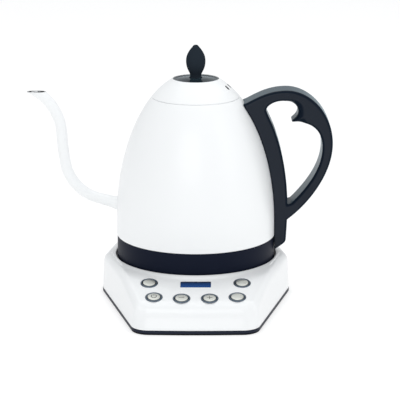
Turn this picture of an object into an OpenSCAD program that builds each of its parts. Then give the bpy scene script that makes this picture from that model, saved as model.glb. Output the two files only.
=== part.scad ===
/* [Kettle body] */
// Outer radius of the kettle body at its widest
body_r = 70.5; // [66:0.5:75]
// Height of the lid seam above the black band
body_h = 123.3; // [117:0.5:127]
// Height above the band where the straight wall turns into the dome
dome_start = 12.3; // [6:0.1:18]
// Height of the dome's full ellipse above the lid seam
dome_over = 21.9; // [20:0.1:26]
// Thickness of the steel body
body_t = 0.9; // [0.7:0.1:1.5]
// Width of the ledge that the lid stands on
ledge_w = 4.3; // [3:0.1:6]
// Depth of the neck below the lid seam
neck_h = 9.5; // [8:0.1:12]
// Height of the steel floor above the top of the band
floor_z = 4; // [3.8:0.1:8]
// Thickness of the steel floor
floor_t = 1; // [0.6:0.1:2]

/* [Spout] */
// Outer diameter of the gooseneck tube
spout_d = 9.7; // [8:0.1:12]
// Outer diameter of the tube where it leaves the body
spout_root_d = 10.8; // [8.6:0.1:14]
// Wall of the tube
spout_t = 0.8; // [0.5:0.1:1.2]
// Height of the tube's root above the band
spout_z = 25.9; // [20:0.1:40]
// Climb of the tube's first stretch, in degrees
spout_rise = 15; // [5:1:25]
// Length of the tube's first stretch
spout_run = 20.9; // [12:0.1:30]
// Radius of the lower bend
spout_low_r = 40; // [32:0.5:50]
// Radius of the long curve between the bends
spout_mid_r = 193; // [150:1:260]
// Turn of the long curve, in degrees
spout_mid_turn = 8; // [4:0.5:12]
// Radius of the bend at the mouth
spout_top_r = 47.6; // [40:0.1:55]
// Height of the mouth above the band
mouth_z = 127.7; // [120:0.1:132]

/* [Handle] */
// Width of the handle across the kettle
handle_w = 27; // [22:0.5:32]
// Reach of the handle outside the body
handle_reach = 49.8; // [42:0.2:58]
// Height of the handle's crest above the lid seam
handle_crest = 7.6; // [4:0.1:14]
// Thickness of the grip
grip_t = 9.3; // [8:0.1:12]
// Thickness of the strap along the body, at the band
strap_t = 9.8; // [8.5:0.1:12]
// How much thicker the strap is, 100 mm above the band
strap_taper = 4.6; // [2:0.1:6]
// Radius of the handle's long edges
handle_edge = 2.8; // [1.5:0.1:3.5]
// How far the foot reaches down over the band
foot_drop = 13; // [10:0.1:15]
// Space between the handle and the body
handle_gap = 0.2; // [0.1:0.05:0.5]

/* [Band and underside] */
// Height of the black band
band_h = 23.7; // [21:0.1:30]
// How much the band is set in from the body
band_inset = 0.5; // [0.2:0.1:0.8]
// Wall of the band
band_t = 2.4; // [1.8:0.1:3]
// Thickness of the bottom cover
bottom_t = 2; // [1.6:0.1:3]
// Radius of the heat plate
plate_r = 50; // [46:0.5:56]
// Thickness of the heat plate
plate_t = 3.5; // [2.5:0.1:4.5]
// Radius of the heating element's ring
element_r = 40; // [36:0.5:42]
// Diameter of the heating element
element_d = 6.6; // [5:0.1:8]

/* [Lid] */
// Thickness of the lid
lid_t = 1.6; // [1.2:0.1:2.2]
// Gap between the lid and the body's ledge
lid_gap = 0.3; // [0.3:0.05:0.6]
// Radius of the glossy disc under the knob
disc_r = 19.8; // [16:0.1:24]
// Thickness of the disc
disc_t = 1.2; // [0.8:0.1:1.5]
// Radius of the knob at its widest
knob_r = 8.5; // [7:0.1:11]
// Height of the knob
knob_h = 30.4; // [24:0.1:36]
// Radius of the knob's neck
neck_knob_r = 5.1; // [4:0.1:6]
// Clearance between the gasket and the neck
seal_gap = 0.3; // [0.3:0.05:0.6]
// Turn of the two steam slots round the lid, in degrees
vent_turn = -12; // [-60:1:60]
// Length of a steam slot
vent_l = 4.4; // [3:0.1:5]
// Width of a steam slot
vent_w = 1.2; // [0.8:0.1:1.8]

/* [Power base] */
// Height of the base's top above the table
base_h = 36.3; // [34:0.1:42]
// Width of the base beside the seat, on each side
base_margin = 13.1; // [9:0.1:16]
// Depth of the kettle's seat
seat_depth = 4.8; // [3:0.1:6]
// Play round the band in its seat
seat_play = 1.4; // [1:0.1:4]
// Gap between the kettle and the seat's floor
seat_gap = 0.3; // [0.3:0.05:0.6]
// Wall of the base cover
cover_t = 2.5; // [2:0.1:3]
// Radius of the cover's upper edge
cover_edge = 7; // [4:0.5:8]
// How far the base reaches in front of the seat
panel_reach = 51; // [46:0.2:56]
// How far the base reaches behind the seat
rear_reach = 8.6; // [4:0.2:20]
// Half the width of the base's front edge
front_half = 51.5; // [49:0.5:56]
// Half the width of the base's rear edge, before its corners are rounded
rear_half = 68; // [64:0.5:74]
// Radius of the base's rear corners
rear_corner_r = 55; // [40:1:56]
// Slope of the control panel, in degrees
panel_slope = 13.5; // [12:0.5:15]
// Height of the rubber feet below the tray
foot_h = 1.5; // [1:0.1:3]
// Radius of a rubber foot
foot_r = 6; // [4:0.1:8]
// Height of the tray's visible lip
lip_h = 2.5; // [2.4:0.1:4]
// Thickness of the tray's floor
tray_t = 2.2; // [1.8:0.1:3]
// Radius of the cord's hole in its gland
cord_hole_r = 3.6; // [3:0.1:4]

/* [Connector] */
// Radius of the base's connector post
post_r = 16; // [15:0.1:18]
// Height of the post above the seat
post_h = 11.5; // [9:0.1:12]
// Gap between the post and the kettle's socket
post_gap = 0.4; // [0.3:0.05:0.8]
// Radius of the outer contact ring
ring_out_r = 12; // [11.5:0.1:13]
// Radius of the inner contact ring
ring_in_r = 7.5; // [7:0.1:8]
// Thickness of a contact ring
ring_t = 0.8; // [0.6:0.1:1]

/* [Control panel] */
// Radius of a button's bezel
bezel_r = 7.45; // [6.6:0.05:8]
// Radius of a button's cap
cap_r = 5.35; // [4.6:0.05:5.6]
// Travel of a button
button_travel = 0.8; // [0.4:0.1:1]
// Distance of the upper buttons from the middle
upper_x = 39.6; // [37:0.1:42]
// Distance of the outer lower buttons from the middle
lower_x = 35.1; // [33:0.1:37]
// Distance of the inner lower buttons from the middle
inner_x = 11.8; // [10:0.1:14]
// Distance of the upper buttons down the panel
upper_y = 10.8; // [10:0.1:12]
// Distance of the outer lower buttons down the panel
lower_y = 33.7; // [32:0.1:35]
// Distance of the inner lower buttons down the panel
inner_y = 35.7; // [34:0.1:37]
// Width of the display window
window_w = 26; // [20:0.5:30]
// Height of the display window
window_h = 9.8; // [8:0.1:11]
// Distance of the window's middle down the panel
window_y = 12.7; // [12:0.1:13.5]

/* [Hidden] */
$fn = 72;

eps = 0.01;
far = 400;

// Heights above the table
tray_z = foot_h;
tray_top = tray_z + tray_t;
cover_z = tray_z + lip_h;
seat_z = base_h - seat_depth;
kettle_z = seat_z + seat_gap;
band_z = kettle_z + band_h;
bottom_z = kettle_z + 1.8;

// Radii of the kettle
band_r = body_r - band_inset;
inner_r = body_r - body_t;
dome_h = body_h - dome_start + dome_over;
seat_r = band_r + seat_play;
function dome_r(z) = z <= dome_start ? body_r : body_r * sqrt(1 - pow((z - dome_start) / dome_h, 2));
function dome_z(r) = dome_start + dome_h * sqrt(1 - pow(r / body_r, 2));
seam_r = dome_r(body_h);
neck_r = seam_r - ledge_w;

// Spout
spout_low_turn = 65;
spout_top_turn = 64;

// Lid
lip_r = disc_r + 0.4;
lip_z = dome_z(lip_r);
disc_top = lip_z - 0.6;
disc_z = disc_top - disc_t;
lid_floor_z = disc_z - lid_t;
lid_z = body_h + lid_gap;
liner_r = neck_r - seal_gap - 0.7;
liner_t = 1.5;
screw_r = 1.55;
screw_hole_r = 2.1;
knob_hole_r = screw_r + 0.05;
plate_liner_z = body_h - 4;
vent_spread = 8.4;
vent_r = (lip_r + seam_r) / 2 - 0.2;

// Base
base_half = seat_r + base_margin;
front_y = seat_r + panel_reach - 1.5;
front_bow = 1.6;
rear_y = seat_r + rear_reach;
cover_inset = 0.6;
cover_draft = 1.2;
panel_y = seat_r + 0.6;
fold_drop = 46.6;
fold_y = panel_y + fold_drop;
panel_dip = 0.4;
panel_z = base_h - panel_dip;
fold_z = panel_z - fold_drop * tan(panel_slope);
cord_z = 15;
pad_half = 9.5;

// Connector
post_hole_r = post_r + 0.2;
socket_r = post_r + post_gap;
socket_t = 2.2;
socket_roof = seat_z + post_h + 1.5;
roof_t = 4;
groove_gap = 0.3;
ring_low = seat_z + 5.5;
ring_top = socket_roof + 2.2;
pin_r = 1.8;

// Heating element
element_z = floor_z - plate_t - 2;
element_gap_turn = 24;
pin_turn = element_gap_turn + 3;
cutout_x = -7;
cutout_y = 27;

// Places of screws and small pieces
bottom_boss_r = 58;
bottom_boss_turn = 30;
boss_r = 4;
boss_hole_r = 1.5;
thread_r = 1.45;
foot_spots = [[62, -48], [44, -106], [66, 44], [-62, -48], [-44, -106], [-66, 44]];
tray_screw_spots = [[60, -34], [60, 30], [-60, -34], [-60, 30]];
board_w = 92;
board_low = 42;
board_z = -10.5;
board_t = 1.6;
board_post_spots = [[43, -22], [23.4, -26], [-43, -22], [-23.4, -26]];
power_board_z = 9;
power_board_x = 48;
power_board_l = 46;
power_inset = 22;
power_rear_y = rear_y - power_inset;
power_board_y = power_rear_y - power_board_l;
power_post_spots = [[43, power_board_y + 5], [43, power_rear_y - 5],
    [-43, power_board_y + 5], [-43, power_rear_y - 5]];
terminal_y = power_rear_y - 10;
button_spots = [[-lower_x, -lower_y], [-inner_x, -inner_y], [inner_x, -inner_y],
    [lower_x, -lower_y], [-upper_x, -upper_y], [upper_x, -upper_y]];
sleeve_r = bezel_r - 0.85;
sleeve_l = 3.2;
switch_well = 2;
bezel_bore = cap_r + 0.3;

// Colours
paint = [0.93, 0.94, 0.94];
black = [0.15, 0.17, 0.21];
steel = [0.75, 0.76, 0.77];
brass = [0.80, 0.65, 0.32];
green = [0.12, 0.38, 0.22];

// ---- Helpers -------------------------------------------------------------------------------

function unit(v) = v / norm(v);
function turned(p, a) = [p[0] * cos(a), p[0] * sin(a), p[2]];
function wrap(a) = a > 180 ? a - 360 : a < -180 ? a + 360 : a;

// Points of an arc of radius r in the corner q between p and s
function corner_arc(p, q, s, r, n) =
    let (
        u = unit(p - q),
        v = unit(s - q),
        half = acos(u * v) / 2,
        c = q + unit(u + v) * r / sin(half),
        from = q + u * r / tan(half) - c,
        to = q + v * r / tan(half) - c,
        a = atan2(from[1], from[0]),
        sweep = wrap(atan2(to[1], to[0]) - a)
    )
    [for (i = [0:n]) c + r * [cos(a + sweep * i / n), sin(a + sweep * i / n)]];

// A closed outline with a radius at each corner; a radius of 0 leaves the corner sharp
function rounded(pts, radii, n) =
    let (m = len(pts))
    [for (k = [0:m - 1]) each radii[k] <= 0 ? [pts[k]]
        : corner_arc(pts[(k + m - 1) % m], pts[k], pts[(k + 1) % m], radii[k], n)];

// A convex outline moved inwards by d
function inset(pts, d) =
    let (m = len(pts))
    [for (k = [0:m - 1])
        let (
            u = unit(pts[(k + m - 1) % m] - pts[k]),
            v = unit(pts[(k + 1) % m] - pts[k])
        )
        pts[k] + unit(u + v) * d / sin(acos(u * v) / 2)];

// Points of a cubic curve
function curve(a, b, c, d, n) =
    [for (i = [0:n]) let (t = i / n, s = 1 - t)
        a * s * s * s + b * 3 * s * s * t + c * 3 * s * t * t + d * t * t * t];

module at_kettle() { translate([0, 0, band_z]) children(); }

// The panel's own frame: x along the panel, y up its slope, z out of its face
module at_panel() {
    translate([0, -panel_y, panel_z]) rotate([panel_slope, 0, 0]) children();
}

module tube(h, ro, ri) {
    difference() {
        cylinder(h = h, r = ro);
        translate([0, 0, -1]) cylinder(h = h + 2, r = ri);
    }
}

// A wire through the given points
module wire_run(pts, r) {
    for (i = [0:len(pts) - 2]) {
        d = pts[i + 1] - pts[i];
        translate(pts[i]) rotate([0, acos(d[2] / norm(d)), atan2(d[1], d[0])]) translate([0, 0, -r * 0.4])
            cylinder(h = norm(d) + 0.8 * r, r = r, $fn = 10);
    }
}

// ---- Kettle body ---------------------------------------------------------------------------

dome_steps = 22;

// Points of the dome's ellipse between two heights, d inside the outer face
function dome_line(low, high, d, n) =
    let (
        a = asin((low - dome_start) / dome_h),
        b = asin((high - dome_start) / dome_h)
    )
    [for (i = [0:n]) let (t = a + (b - a) * i / n)
        [(body_r - d) * cos(t), dome_start + (dome_h - d) * sin(t)]];

// The space inside the body's outer face, grown by d
module body_envelope(d) {
    rotate_extrude() polygon(concat([[0, -60], [body_r + d, -60]],
        dome_line(dome_start, body_h, -d, dome_steps), [[seam_r + d, body_h + 8], [0, body_h + 8]]));
}

module kettle_shell() color(paint) at_kettle() {
    outer = dome_line(dome_start, body_h, 0, dome_steps);
    inner = dome_line(dome_start, body_h, body_t, dome_steps);
    under = inner[len(inner) - 1][1];
    difference() {
        rotate_extrude($fn = 120) polygon(concat(
            [[body_r, 0]], outer,
            [[neck_r, body_h], [neck_r, body_h - neck_h], [neck_r + body_t, body_h - neck_h],
                [neck_r + body_t, under]],
            [for (i = [len(inner) - 1:-1:0]) inner[i]],
            [[inner_r, 0]]));
        translate([spout_start[0][0], 0, spout_start[0][1]]) rotate([0, -(90 - spout_rise), 0])
            cylinder(h = spout_run, r1 = spout_root_d / 2 - spout_t, r2 = spout_d / 2 - spout_t);
    }
}

module vessel_floor() color(steel) at_kettle() {
    rim = 2;
    rotate_extrude() polygon([[0, floor_z], [inner_r - floor_t, floor_z],
        [inner_r - floor_t, floor_z - rim], [inner_r, floor_z - rim],
        [inner_r, floor_z + floor_t], [0, floor_z + floor_t]]);
}

// ---- Gooseneck spout -----------------------------------------------------------------------

// Places along a bend, as [point, heading], that turns right or left from heading a at p
function bend_right(p, a, r, turn, n) =
    [for (i = [1:n]) let (b = a - turn * i / n) [p + r * [sin(a) - sin(b), cos(b) - cos(a)], b]];
function bend_left(p, a, r, turn, n) =
    [for (i = [1:n]) let (b = a + turn * i / n) [p + r * [sin(b) - sin(a), cos(a) - cos(b)], b]];
function last(list) = list[len(list) - 1];

// The gooseneck's centre line in the plane of the handle, from inside the body to past the mouth
spout_start = [[-(body_r - 4.5), spout_z], 180 - spout_rise];
spout_turn_in = [spout_start[0] + spout_run * [cos(spout_start[1]), sin(spout_start[1])], spout_start[1]];
spout_low = bend_right(spout_turn_in[0], spout_turn_in[1], spout_low_r, spout_low_turn, 10);
spout_mid = bend_right(last(spout_low)[0], last(spout_low)[1], spout_mid_r, spout_mid_turn, 3);
spout_top = bend_left(last(spout_mid)[0], last(spout_mid)[1], spout_top_r, spout_top_turn, 11);
spout_path = concat([spout_start, spout_turn_in], spout_low, spout_mid, spout_top);

// A rod along a path of [point, heading] in the XZ plane; it thins from root_r to r in its first stretch
module sweep(path, root_r, r, sides) {
    m = len(path);
    points = [for (i = [0:m - 1]) for (k = [0:sides - 1])
        let (
            c = path[i][0],
            b = path[i][1],
            ring_r = i == 0 ? root_r : r,
            t = 360 * k / sides
        )
        [c[0] - ring_r * cos(t) * sin(b), ring_r * sin(t), c[1] + ring_r * cos(t) * cos(b)]];
    walls = [for (i = [0:m - 2]) for (k = [0:sides - 1])
        let (a = i * sides + k, b = i * sides + (k + 1) % sides)
        [a, b, b + sides, a + sides]];
    polyhedron(points, concat(walls,
        [[for (k = [sides - 1:-1:0]) k]],
        [[for (k = [0:sides - 1]) (m - 1) * sides + k]]), convexity = 4);
}

module spout_rod(d) {
    sweep(spout_path, spout_root_d / 2 - d, spout_d / 2 - d, 24);
}

module spout_tube() color(paint) at_kettle() {
    difference() {
        spout_rod(0);
        spout_rod(spout_t);
        body_envelope(0);
        translate([-far, -far / 2, mouth_z]) cube(far);
    }
}

// ---- Band and underside --------------------------------------------------------------------

module bottom_boss_places() {
    for (k = [0:2]) rotate([0, 0, bottom_boss_turn + 120 * k]) translate([bottom_boss_r, 0, 0]) children();
}

module base_ring() color(black) {
    deck_low = -3;
    deck_high = -1.2;
    spigot_r = inner_r - floor_t - 0.2;
    wall_in = band_r - band_t;
    difference() {
        union() {
            at_kettle() rotate_extrude($fn = 120) polygon([
                [band_r, 0], [band_r, -band_h + 1], [band_r - 1, -band_h], [wall_in, -band_h],
                [wall_in, deck_low], [bottom_boss_r - boss_r - 1, deck_low],
                [bottom_boss_r - boss_r - 1, deck_high], [spigot_r - 2, deck_high],
                [spigot_r - 2, floor_z - 0.5], [spigot_r, floor_z - 0.5], [spigot_r, 0]]);
            bottom_boss_places() translate([0, 0, bottom_z + bottom_t])
                cylinder(h = band_z + deck_low - bottom_z - bottom_t + eps, r = boss_r);
        }
        bottom_boss_places() translate([0, 0, bottom_z]) cylinder(h = 14, r = boss_hole_r);
    }
}

module bottom_cover() color(black) {
    difference() {
        translate([0, 0, bottom_z]) cylinder(h = bottom_t, r = band_r - band_t - 0.2);
        translate([0, 0, bottom_z - 1]) cylinder(h = bottom_t + 2, r = socket_r + socket_t + 0.1);
        bottom_boss_places() translate([0, 0, bottom_z - 1]) cylinder(h = bottom_t + 2, r = 1.8);
        bottom_boss_places() translate([0, 0, bottom_z - 1]) cylinder(h = 1.9, r = 3.2);
        for (k = [0:11]) rotate([0, 0, 30 * k + 15]) translate([42, 0, bottom_z - 1])
            cylinder(h = bottom_t + 2, r = 1.4, $fn = 24);
    }
}

module bottom_screws() color(steel) bottom_boss_places() {
    difference() {
        union() {
            translate([0, 0, bottom_z + 0.9 - 1.7]) cylinder(h = 1.7, r = 2.9, $fn = 32);
            translate([0, 0, bottom_z + 0.8]) cylinder(h = 11, r = thread_r, $fn = 24);
        }
        screw_cross(bottom_z - 1.2, 1.1);
    }
}

// A cross recess of depth d, cut upwards from height z
module screw_cross(z, d) {
    for (a = [0, 90]) rotate([0, 0, a]) translate([-1.4, -0.3, z - 0.5]) cube([2.8, 0.6, d + 0.5]);
}

module heat_plate() color([0.80, 0.81, 0.82]) at_kettle() difference() {
    translate([0, 0, floor_z - plate_t]) cylinder(h = plate_t, r = plate_r);
    element_coil();
    translate([0, 0, floor_z - plate_t - 1]) cylinder(h = plate_t + 2, r = 3.4);
}

// The heating element's ring, open where its ends are
module element_coil() {
    rotate([0, 0, 180 + element_gap_turn]) rotate_extrude(angle = 360 - 2 * element_gap_turn)
        translate([element_r, element_z]) circle(r = element_d / 2);
}

module heating_element() color([0.55, 0.56, 0.58]) at_kettle() {
    element_coil();
    for (s = [-1, 1]) rotate([0, 0, 180 + s * pin_turn]) translate([element_r, 0, 0]) {
        translate([0, 0, element_z - 6]) cylinder(h = 6, r = element_d / 2 - 0.4);
        translate([0, 0, element_z - 9]) cylinder(h = 4, r = 1.3, $fn = 24);
    }
}

module temperature_probe() color(steel) at_kettle() {
    translate([0, 0, floor_z - 9]) cylinder(h = 9, r = 3.2);
    translate([0, 0, floor_z - 9]) tube(1.5, 5, 2);
}

module thermal_cutout() color([0.35, 0.25, 0.2]) at_kettle()
    translate([cutout_x, cutout_y, floor_z - plate_t]) {
        translate([0, 0, -2.5]) cylinder(h = 2.5, r = 8);
        translate([0, 0, -6]) cylinder(h = 3.6, r = 6.6);
        for (s = [-1, 1]) translate([s * 4 - 1.6, -0.4, -9]) cube([3.2, 0.8, 3.1]);
    }

// Three tabs on the socket's roof, with wires to the cutout and the element, and an earth wire
module element_leads() color([0.75, 0.2, 0.18]) {
    wire_r = 1.1;
    tab_z = socket_roof + roof_t;
    top_z = tab_z + 2;
    edge = [socket_r + socket_t + 4, 0, tab_z + 1.3];
    pin_end = [element_r, 0, band_z + element_z - 9 - 1.2 * wire_r];
    spade_z = band_z + floor_z - plate_t - 9 - 1.6 * wire_r;
    for (a = [60, 180, 300]) rotate([0, 0, a]) translate([ring_out_r - 2, -2.4, tab_z]) cube([0.8, 4.8, 3]);
    wire_run([turned([ring_out_r - 1.6, 0, top_z], 60), turned(edge, 80),
        [cutout_x + 4, cutout_y, spade_z]], wire_r);
    wire_run([[cutout_x - 4, cutout_y, spade_z], turned([34, 0, spade_z - 1], 140),
        turned(pin_end, 180 - pin_turn)], wire_r);
    wire_run([turned([ring_out_r - 1.6, 0, top_z], 300), turned(edge, 280),
        turned([30, 0, spade_z - 1], 240), turned(pin_end, 180 + pin_turn)], wire_r);
    wire_run([[-ring_out_r + 1.6, 0, top_z], turned(edge, 180), [-28, 0, tab_z + 1.5],
        [-28, 0, band_z + floor_z - plate_t - 0.45 * wire_r]], wire_r);
}

// ---- Connector between kettle and base -----------------------------------------------------

module kettle_connector() color(black) {
    roof_z = socket_roof;
    difference() {
        union() {
            translate([0, 0, bottom_z]) cylinder(h = roof_z + roof_t - bottom_z, r = socket_r + socket_t);
            translate([0, 0, bottom_z + bottom_t]) cylinder(h = 2, r = socket_r + socket_t + 5);
        }
        translate([0, 0, bottom_z - 1]) cylinder(h = roof_z - bottom_z + 1, r = socket_r);
        for (r = [ring_out_r, ring_in_r]) translate([0, 0, roof_z - 1])
            tube(ring_top - roof_z + groove_gap + 1, r + ring_t / 2 + groove_gap, r - ring_t / 2 - groove_gap);
        translate([0, 0, roof_z - 1]) cylinder(h = ring_top - roof_z + groove_gap + 1, r = pin_r + groove_gap);
    }
}

module kettle_contacts() color(brass) {
    for (r = [ring_out_r, ring_in_r]) translate([0, 0, ring_low])
        tube(ring_top - ring_low, r + ring_t / 2, r - ring_t / 2);
    translate([0, 0, ring_low]) cylinder(h = ring_top - ring_low, r = pin_r);
}

slot_half = 1.1;

module base_connector() color(black) {
    top = seat_z + post_h;
    low = seat_z - cover_t - 9;
    difference() {
        union() {
            translate([0, 0, low]) cylinder(h = top - low - 1.5, r = post_r);
            translate([0, 0, top - 1.5]) cylinder(h = 1.5, r1 = post_r, r2 = post_r - 1.5);
            translate([0, 0, seat_z - cover_t - 3]) cylinder(h = 3, r = post_r + 6);
        }
        for (r = [ring_out_r, ring_in_r]) translate([0, 0, ring_low - 1.5])
            tube(far, r + slot_half, r - slot_half);
        translate([0, 0, ring_low - 1.5]) cylinder(h = far, r = pin_r + 1);
        for (a = [45, 225]) rotate([0, 0, a]) translate([post_r + 3, 0, 0]) cylinder(h = far, r = 1.5);
    }
}

// Leaf contacts against the outer wall of each slot, with blades under the post
module base_contacts() color(brass) {
    low = seat_z - cover_t - 9;
    leaf_t = 0.25;
    for (r = [ring_out_r, ring_in_r]) for (a = [0, 120, 240]) rotate([0, 0, a])
        translate([0, 0, ring_low - 1.5]) rotate([0, 0, -10]) rotate_extrude(angle = 20)
            translate([r + slot_half - leaf_t, 0]) square([leaf_t, 6]);
    for (a = [90, 210, 330]) rotate([0, 0, a]) translate([8, -2.4, low - 5]) cube([0.8, 4.8, 5]);
}

// ---- Handle --------------------------------------------------------------------------------

strap_top = body_h - 15;
handle_end_x = dome_r(body_h - 4) - 0.4;

// Outer edge of the strap along the body
function strap_x(z) = dome_r(z) + strap_t + strap_taper * z / 100;

module handle_outline() {
    crest_z = body_h + handle_crest;
    out_x = body_r + handle_reach;
    mid_z = body_h - 40.8;
    join_z = 14.5;
    polygon(concat(
        [[body_r - 8, -foot_drop], [body_r - 0.5, -foot_drop], [body_r + 3, 2.2 - foot_drop],
            [body_r + 6.5, 4.8 - foot_drop], [body_r + 8.8, 6.8 - foot_drop],
            [strap_x(0) - 0.3, -4], [strap_x(4), 4]],
        curve([strap_x(join_z), join_z], [out_x - 19.4, 29.5], [out_x, mid_z - 25.5], [out_x, mid_z], 14),
        curve([out_x, mid_z], [out_x, mid_z + 28], [body_r + 29.5, crest_z], [body_r + 9, crest_z], 14),
        curve([body_r + 9, crest_z], [body_r - 4.5, crest_z], [body_r - 14, crest_z - 4.4],
            [handle_end_x + 3.8, body_h - 3], 8),
        [[handle_end_x, body_h - 4.6], [handle_end_x, body_h - 10], [handle_end_x - 6, body_h - 12],
            [body_r - 30, body_h - 40], [body_r - 16, 30]]));
}

// Tip of the beak under the crest
beak_tip = [body_r + 14, body_h - 20.4];

// The window for the fingers, down to its sharp lower end
module handle_window() {
    in_x = body_r + handle_reach - grip_t;
    mid_z = body_h - 43.3;
    roof_z = body_h + handle_crest - grip_t;
    flank = [body_r + 18.9, roof_z - 9.8];
    sharp_z = 28.5;
    polygon(concat(
        [for (i = [0:10]) let (z = sharp_z + (strap_top - sharp_z) * i / 10) [strap_x(z), z]],
        curve([strap_x(strap_top) - 1.4, strap_top + 3.6], [strap_x(strap_top) - 4, roof_z - 6.6],
            [body_r - 4, roof_z], [body_r + 5.5, roof_z], 7),
        curve([body_r + 5.5, roof_z], [body_r + 12, roof_z], flank + [0, 6.8], flank, 6),
        curve(flank, flank - [0, 3.4], beak_tip + [2.5, 3.1], beak_tip + [-0.2, 1], 4),
        curve(beak_tip + [0.7, -0.7], beak_tip + [10.5, 0.7], [in_x, mid_z + 20], [in_x, mid_z], 9),
        curve([in_x, mid_z], [in_x, mid_z - 14], [in_x - 6.5, mid_z - 30],
            [strap_x(sharp_z) + 1.2, sharp_z + 1], 12)));
}

// The beak that the forefinger rests against
module handle_beak() {
    hull() {
        translate([beak_tip[0] + 0.4, 5, beak_tip[1] + 0.3]) rotate([90, 0, 0])
            cylinder(h = 10, r = 0.9, $fn = 16);
        for (s = [-1, 1]) {
            translate([beak_tip[0] + 8, s * (handle_w / 2 - 4.5), beak_tip[1] + 2.1]) sphere(r = 2.5, $fn = 20);
            translate([beak_tip[0] + 9.5, s * (handle_w / 2 - 4.5), beak_tip[1] + 7]) sphere(r = 2.5, $fn = 20);
        }
    }
}

bracket_low_z = 52;
bracket_high_z = body_h - 27;
bracket_half_w = 8;
bracket_half_h = 9;
bracket_t = 1.4;
nut_r = 3.6;
nut_l = 4.2;
// Where the screws' heads start outside the body, and the wells that they sink into
head_start = 8.4;
well_r = 3.6;
well_l = 20;

module handle_screw_places() {
    for (z = [bracket_low_z, bracket_high_z]) translate([dome_r(z), 0, z]) rotate([0, 90, 0]) children();
}

module handle() color(black) at_kettle() {
    difference() {
        union() {
            minkowski() {
                rotate([90, 0, 0]) linear_extrude(handle_w - 2 * handle_edge, center = true)
                    offset(delta = -handle_edge) difference() {
                        handle_outline();
                        handle_window();
                    }
                sphere(r = handle_edge, $fn = 16);
            }
            handle_beak();
        }
        body_envelope(handle_gap);
        for (z = [bracket_low_z, bracket_high_z]) bracket_room(z, 0.3);
        handle_screw_places() {
            cylinder(h = far, r = thread_r + 0.5);
            translate([0, 0, head_start - 0.2]) cylinder(h = well_l, r = well_r);
        }
    }
}

// The block of space round a bracket, grown by d
module bracket_room(z, d) {
    intersection() {
        translate([0, -bracket_half_w - d, z - bracket_half_h - d])
            cube([far, 2 * (bracket_half_w + d), 2 * (bracket_half_h + d)]);
        body_envelope(bracket_t + handle_gap + d);
    }
    translate([dome_r(z), 0, z]) rotate([0, 90, 0]) cylinder(h = nut_l + handle_gap + d, r = nut_r + d);
}

module handle_bracket(z) {
    difference() {
        bracket_room(z, 0);
        body_envelope(0);
        translate([0, 0, z]) rotate([0, 90, 0]) cylinder(h = far, r = thread_r + 0.05);
    }
}

module handle_bracket_upper() color(steel) at_kettle() handle_bracket(bracket_high_z);

module handle_bracket_lower() color(steel) at_kettle() handle_bracket(bracket_low_z);

module handle_screws() color(steel) at_kettle() handle_screw_places() difference() {
    union() {
        translate([0, 0, 0.8]) cylinder(h = head_start - 0.4, r = thread_r, $fn = 24);
        translate([0, 0, head_start]) cylinder(h = 1.9, r = 3.2, $fn = 32);
    }
    rotate([180, 0, 0]) screw_cross(-head_start - 2, 1);
}

// ---- Lid -----------------------------------------------------------------------------------

module vent_places() {
    for (s = [-1, 1]) rotate([0, 0, vent_turn + s * vent_spread]) children();
}

// Round-ended slot along the lid's slope, through its wall
module vent_cut() {
    slope = atan(dome_h * dome_h * vent_r / (body_r * body_r * (dome_z(vent_r) - dome_start)));
    half = (vent_l - vent_w) / 2;
    translate([vent_r, 0, dome_z(vent_r)]) rotate([0, slope, 0]) {
        for (s = [-1, 1]) translate([s * half, 0, -4]) cylinder(h = 6, r = vent_w / 2, $fn = 24);
        translate([-half, -vent_w / 2, -4]) cube([2 * half, vent_w, 6]);
    }
}

module lid_shell() color(paint) at_kettle() {
    outer = dome_line(lid_z, lip_z, 0, 14);
    floor_turn = asin((lid_floor_z - dome_start) / (dome_h - lid_t));
    rim_turn = asin((lid_z - dome_start) / (dome_h - lid_t));
    inner = [for (i = [0:12]) let (t = floor_turn + (rim_turn - floor_turn) * i / 12)
        [(body_r - lid_t) * cos(t), dome_start + (dome_h - lid_t) * sin(t)]];
    difference() {
        rotate_extrude($fn = 120) polygon(concat(outer,
            [[lip_r, disc_z], [screw_hole_r, disc_z], [screw_hole_r, lid_floor_z]], inner));
        vent_places() vent_cut();
    }
}

module lid_liner() color(black) at_kettle() {
    flange_r = (body_r - lid_t) * cos(asin((lid_z + 1.6 - dome_start) / (dome_h - lid_t))) - 0.3;
    groove = 0.9;
    skirt_z = body_h - neck_h - 1;
    difference() {
        rotate_extrude($fn = 120) polygon([
            [screw_hole_r, plate_liner_z], [liner_r - liner_t, plate_liner_z],
            [liner_r - liner_t, skirt_z], [liner_r, skirt_z],
            [liner_r, skirt_z + 2], [liner_r - groove, skirt_z + 2],
            [liner_r - groove, skirt_z + 5], [liner_r, skirt_z + 5],
            [liner_r, lid_z], [flange_r, lid_z], [flange_r, lid_z + 1.4],
            [liner_r - liner_t, lid_z + 1.4], [liner_r - liner_t, plate_liner_z + 1.5],
            [5, plate_liner_z + 1.5], [4, lid_floor_z], [screw_hole_r, lid_floor_z]]);
        vent_places() translate([liner_r - 8, 0, plate_liner_z - 1]) cylinder(h = 4, r = 2);
    }
}

module lid_gasket() color([0.85, 0.85, 0.83]) at_kettle() {
    low = body_h - neck_h + 1;
    rotate_extrude($fn = 120) polygon([[liner_r - 0.9, low], [liner_r, low],
        [neck_r - seal_gap, low + 0.9], [neck_r - seal_gap, low + 1.4], [liner_r, low + 1.6],
        [liner_r, low + 2], [neck_r - seal_gap, low + 2.4], [neck_r - seal_gap, low + 2.8],
        [liner_r, low + 3], [liner_r - 0.9, low + 3]]);
}

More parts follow.
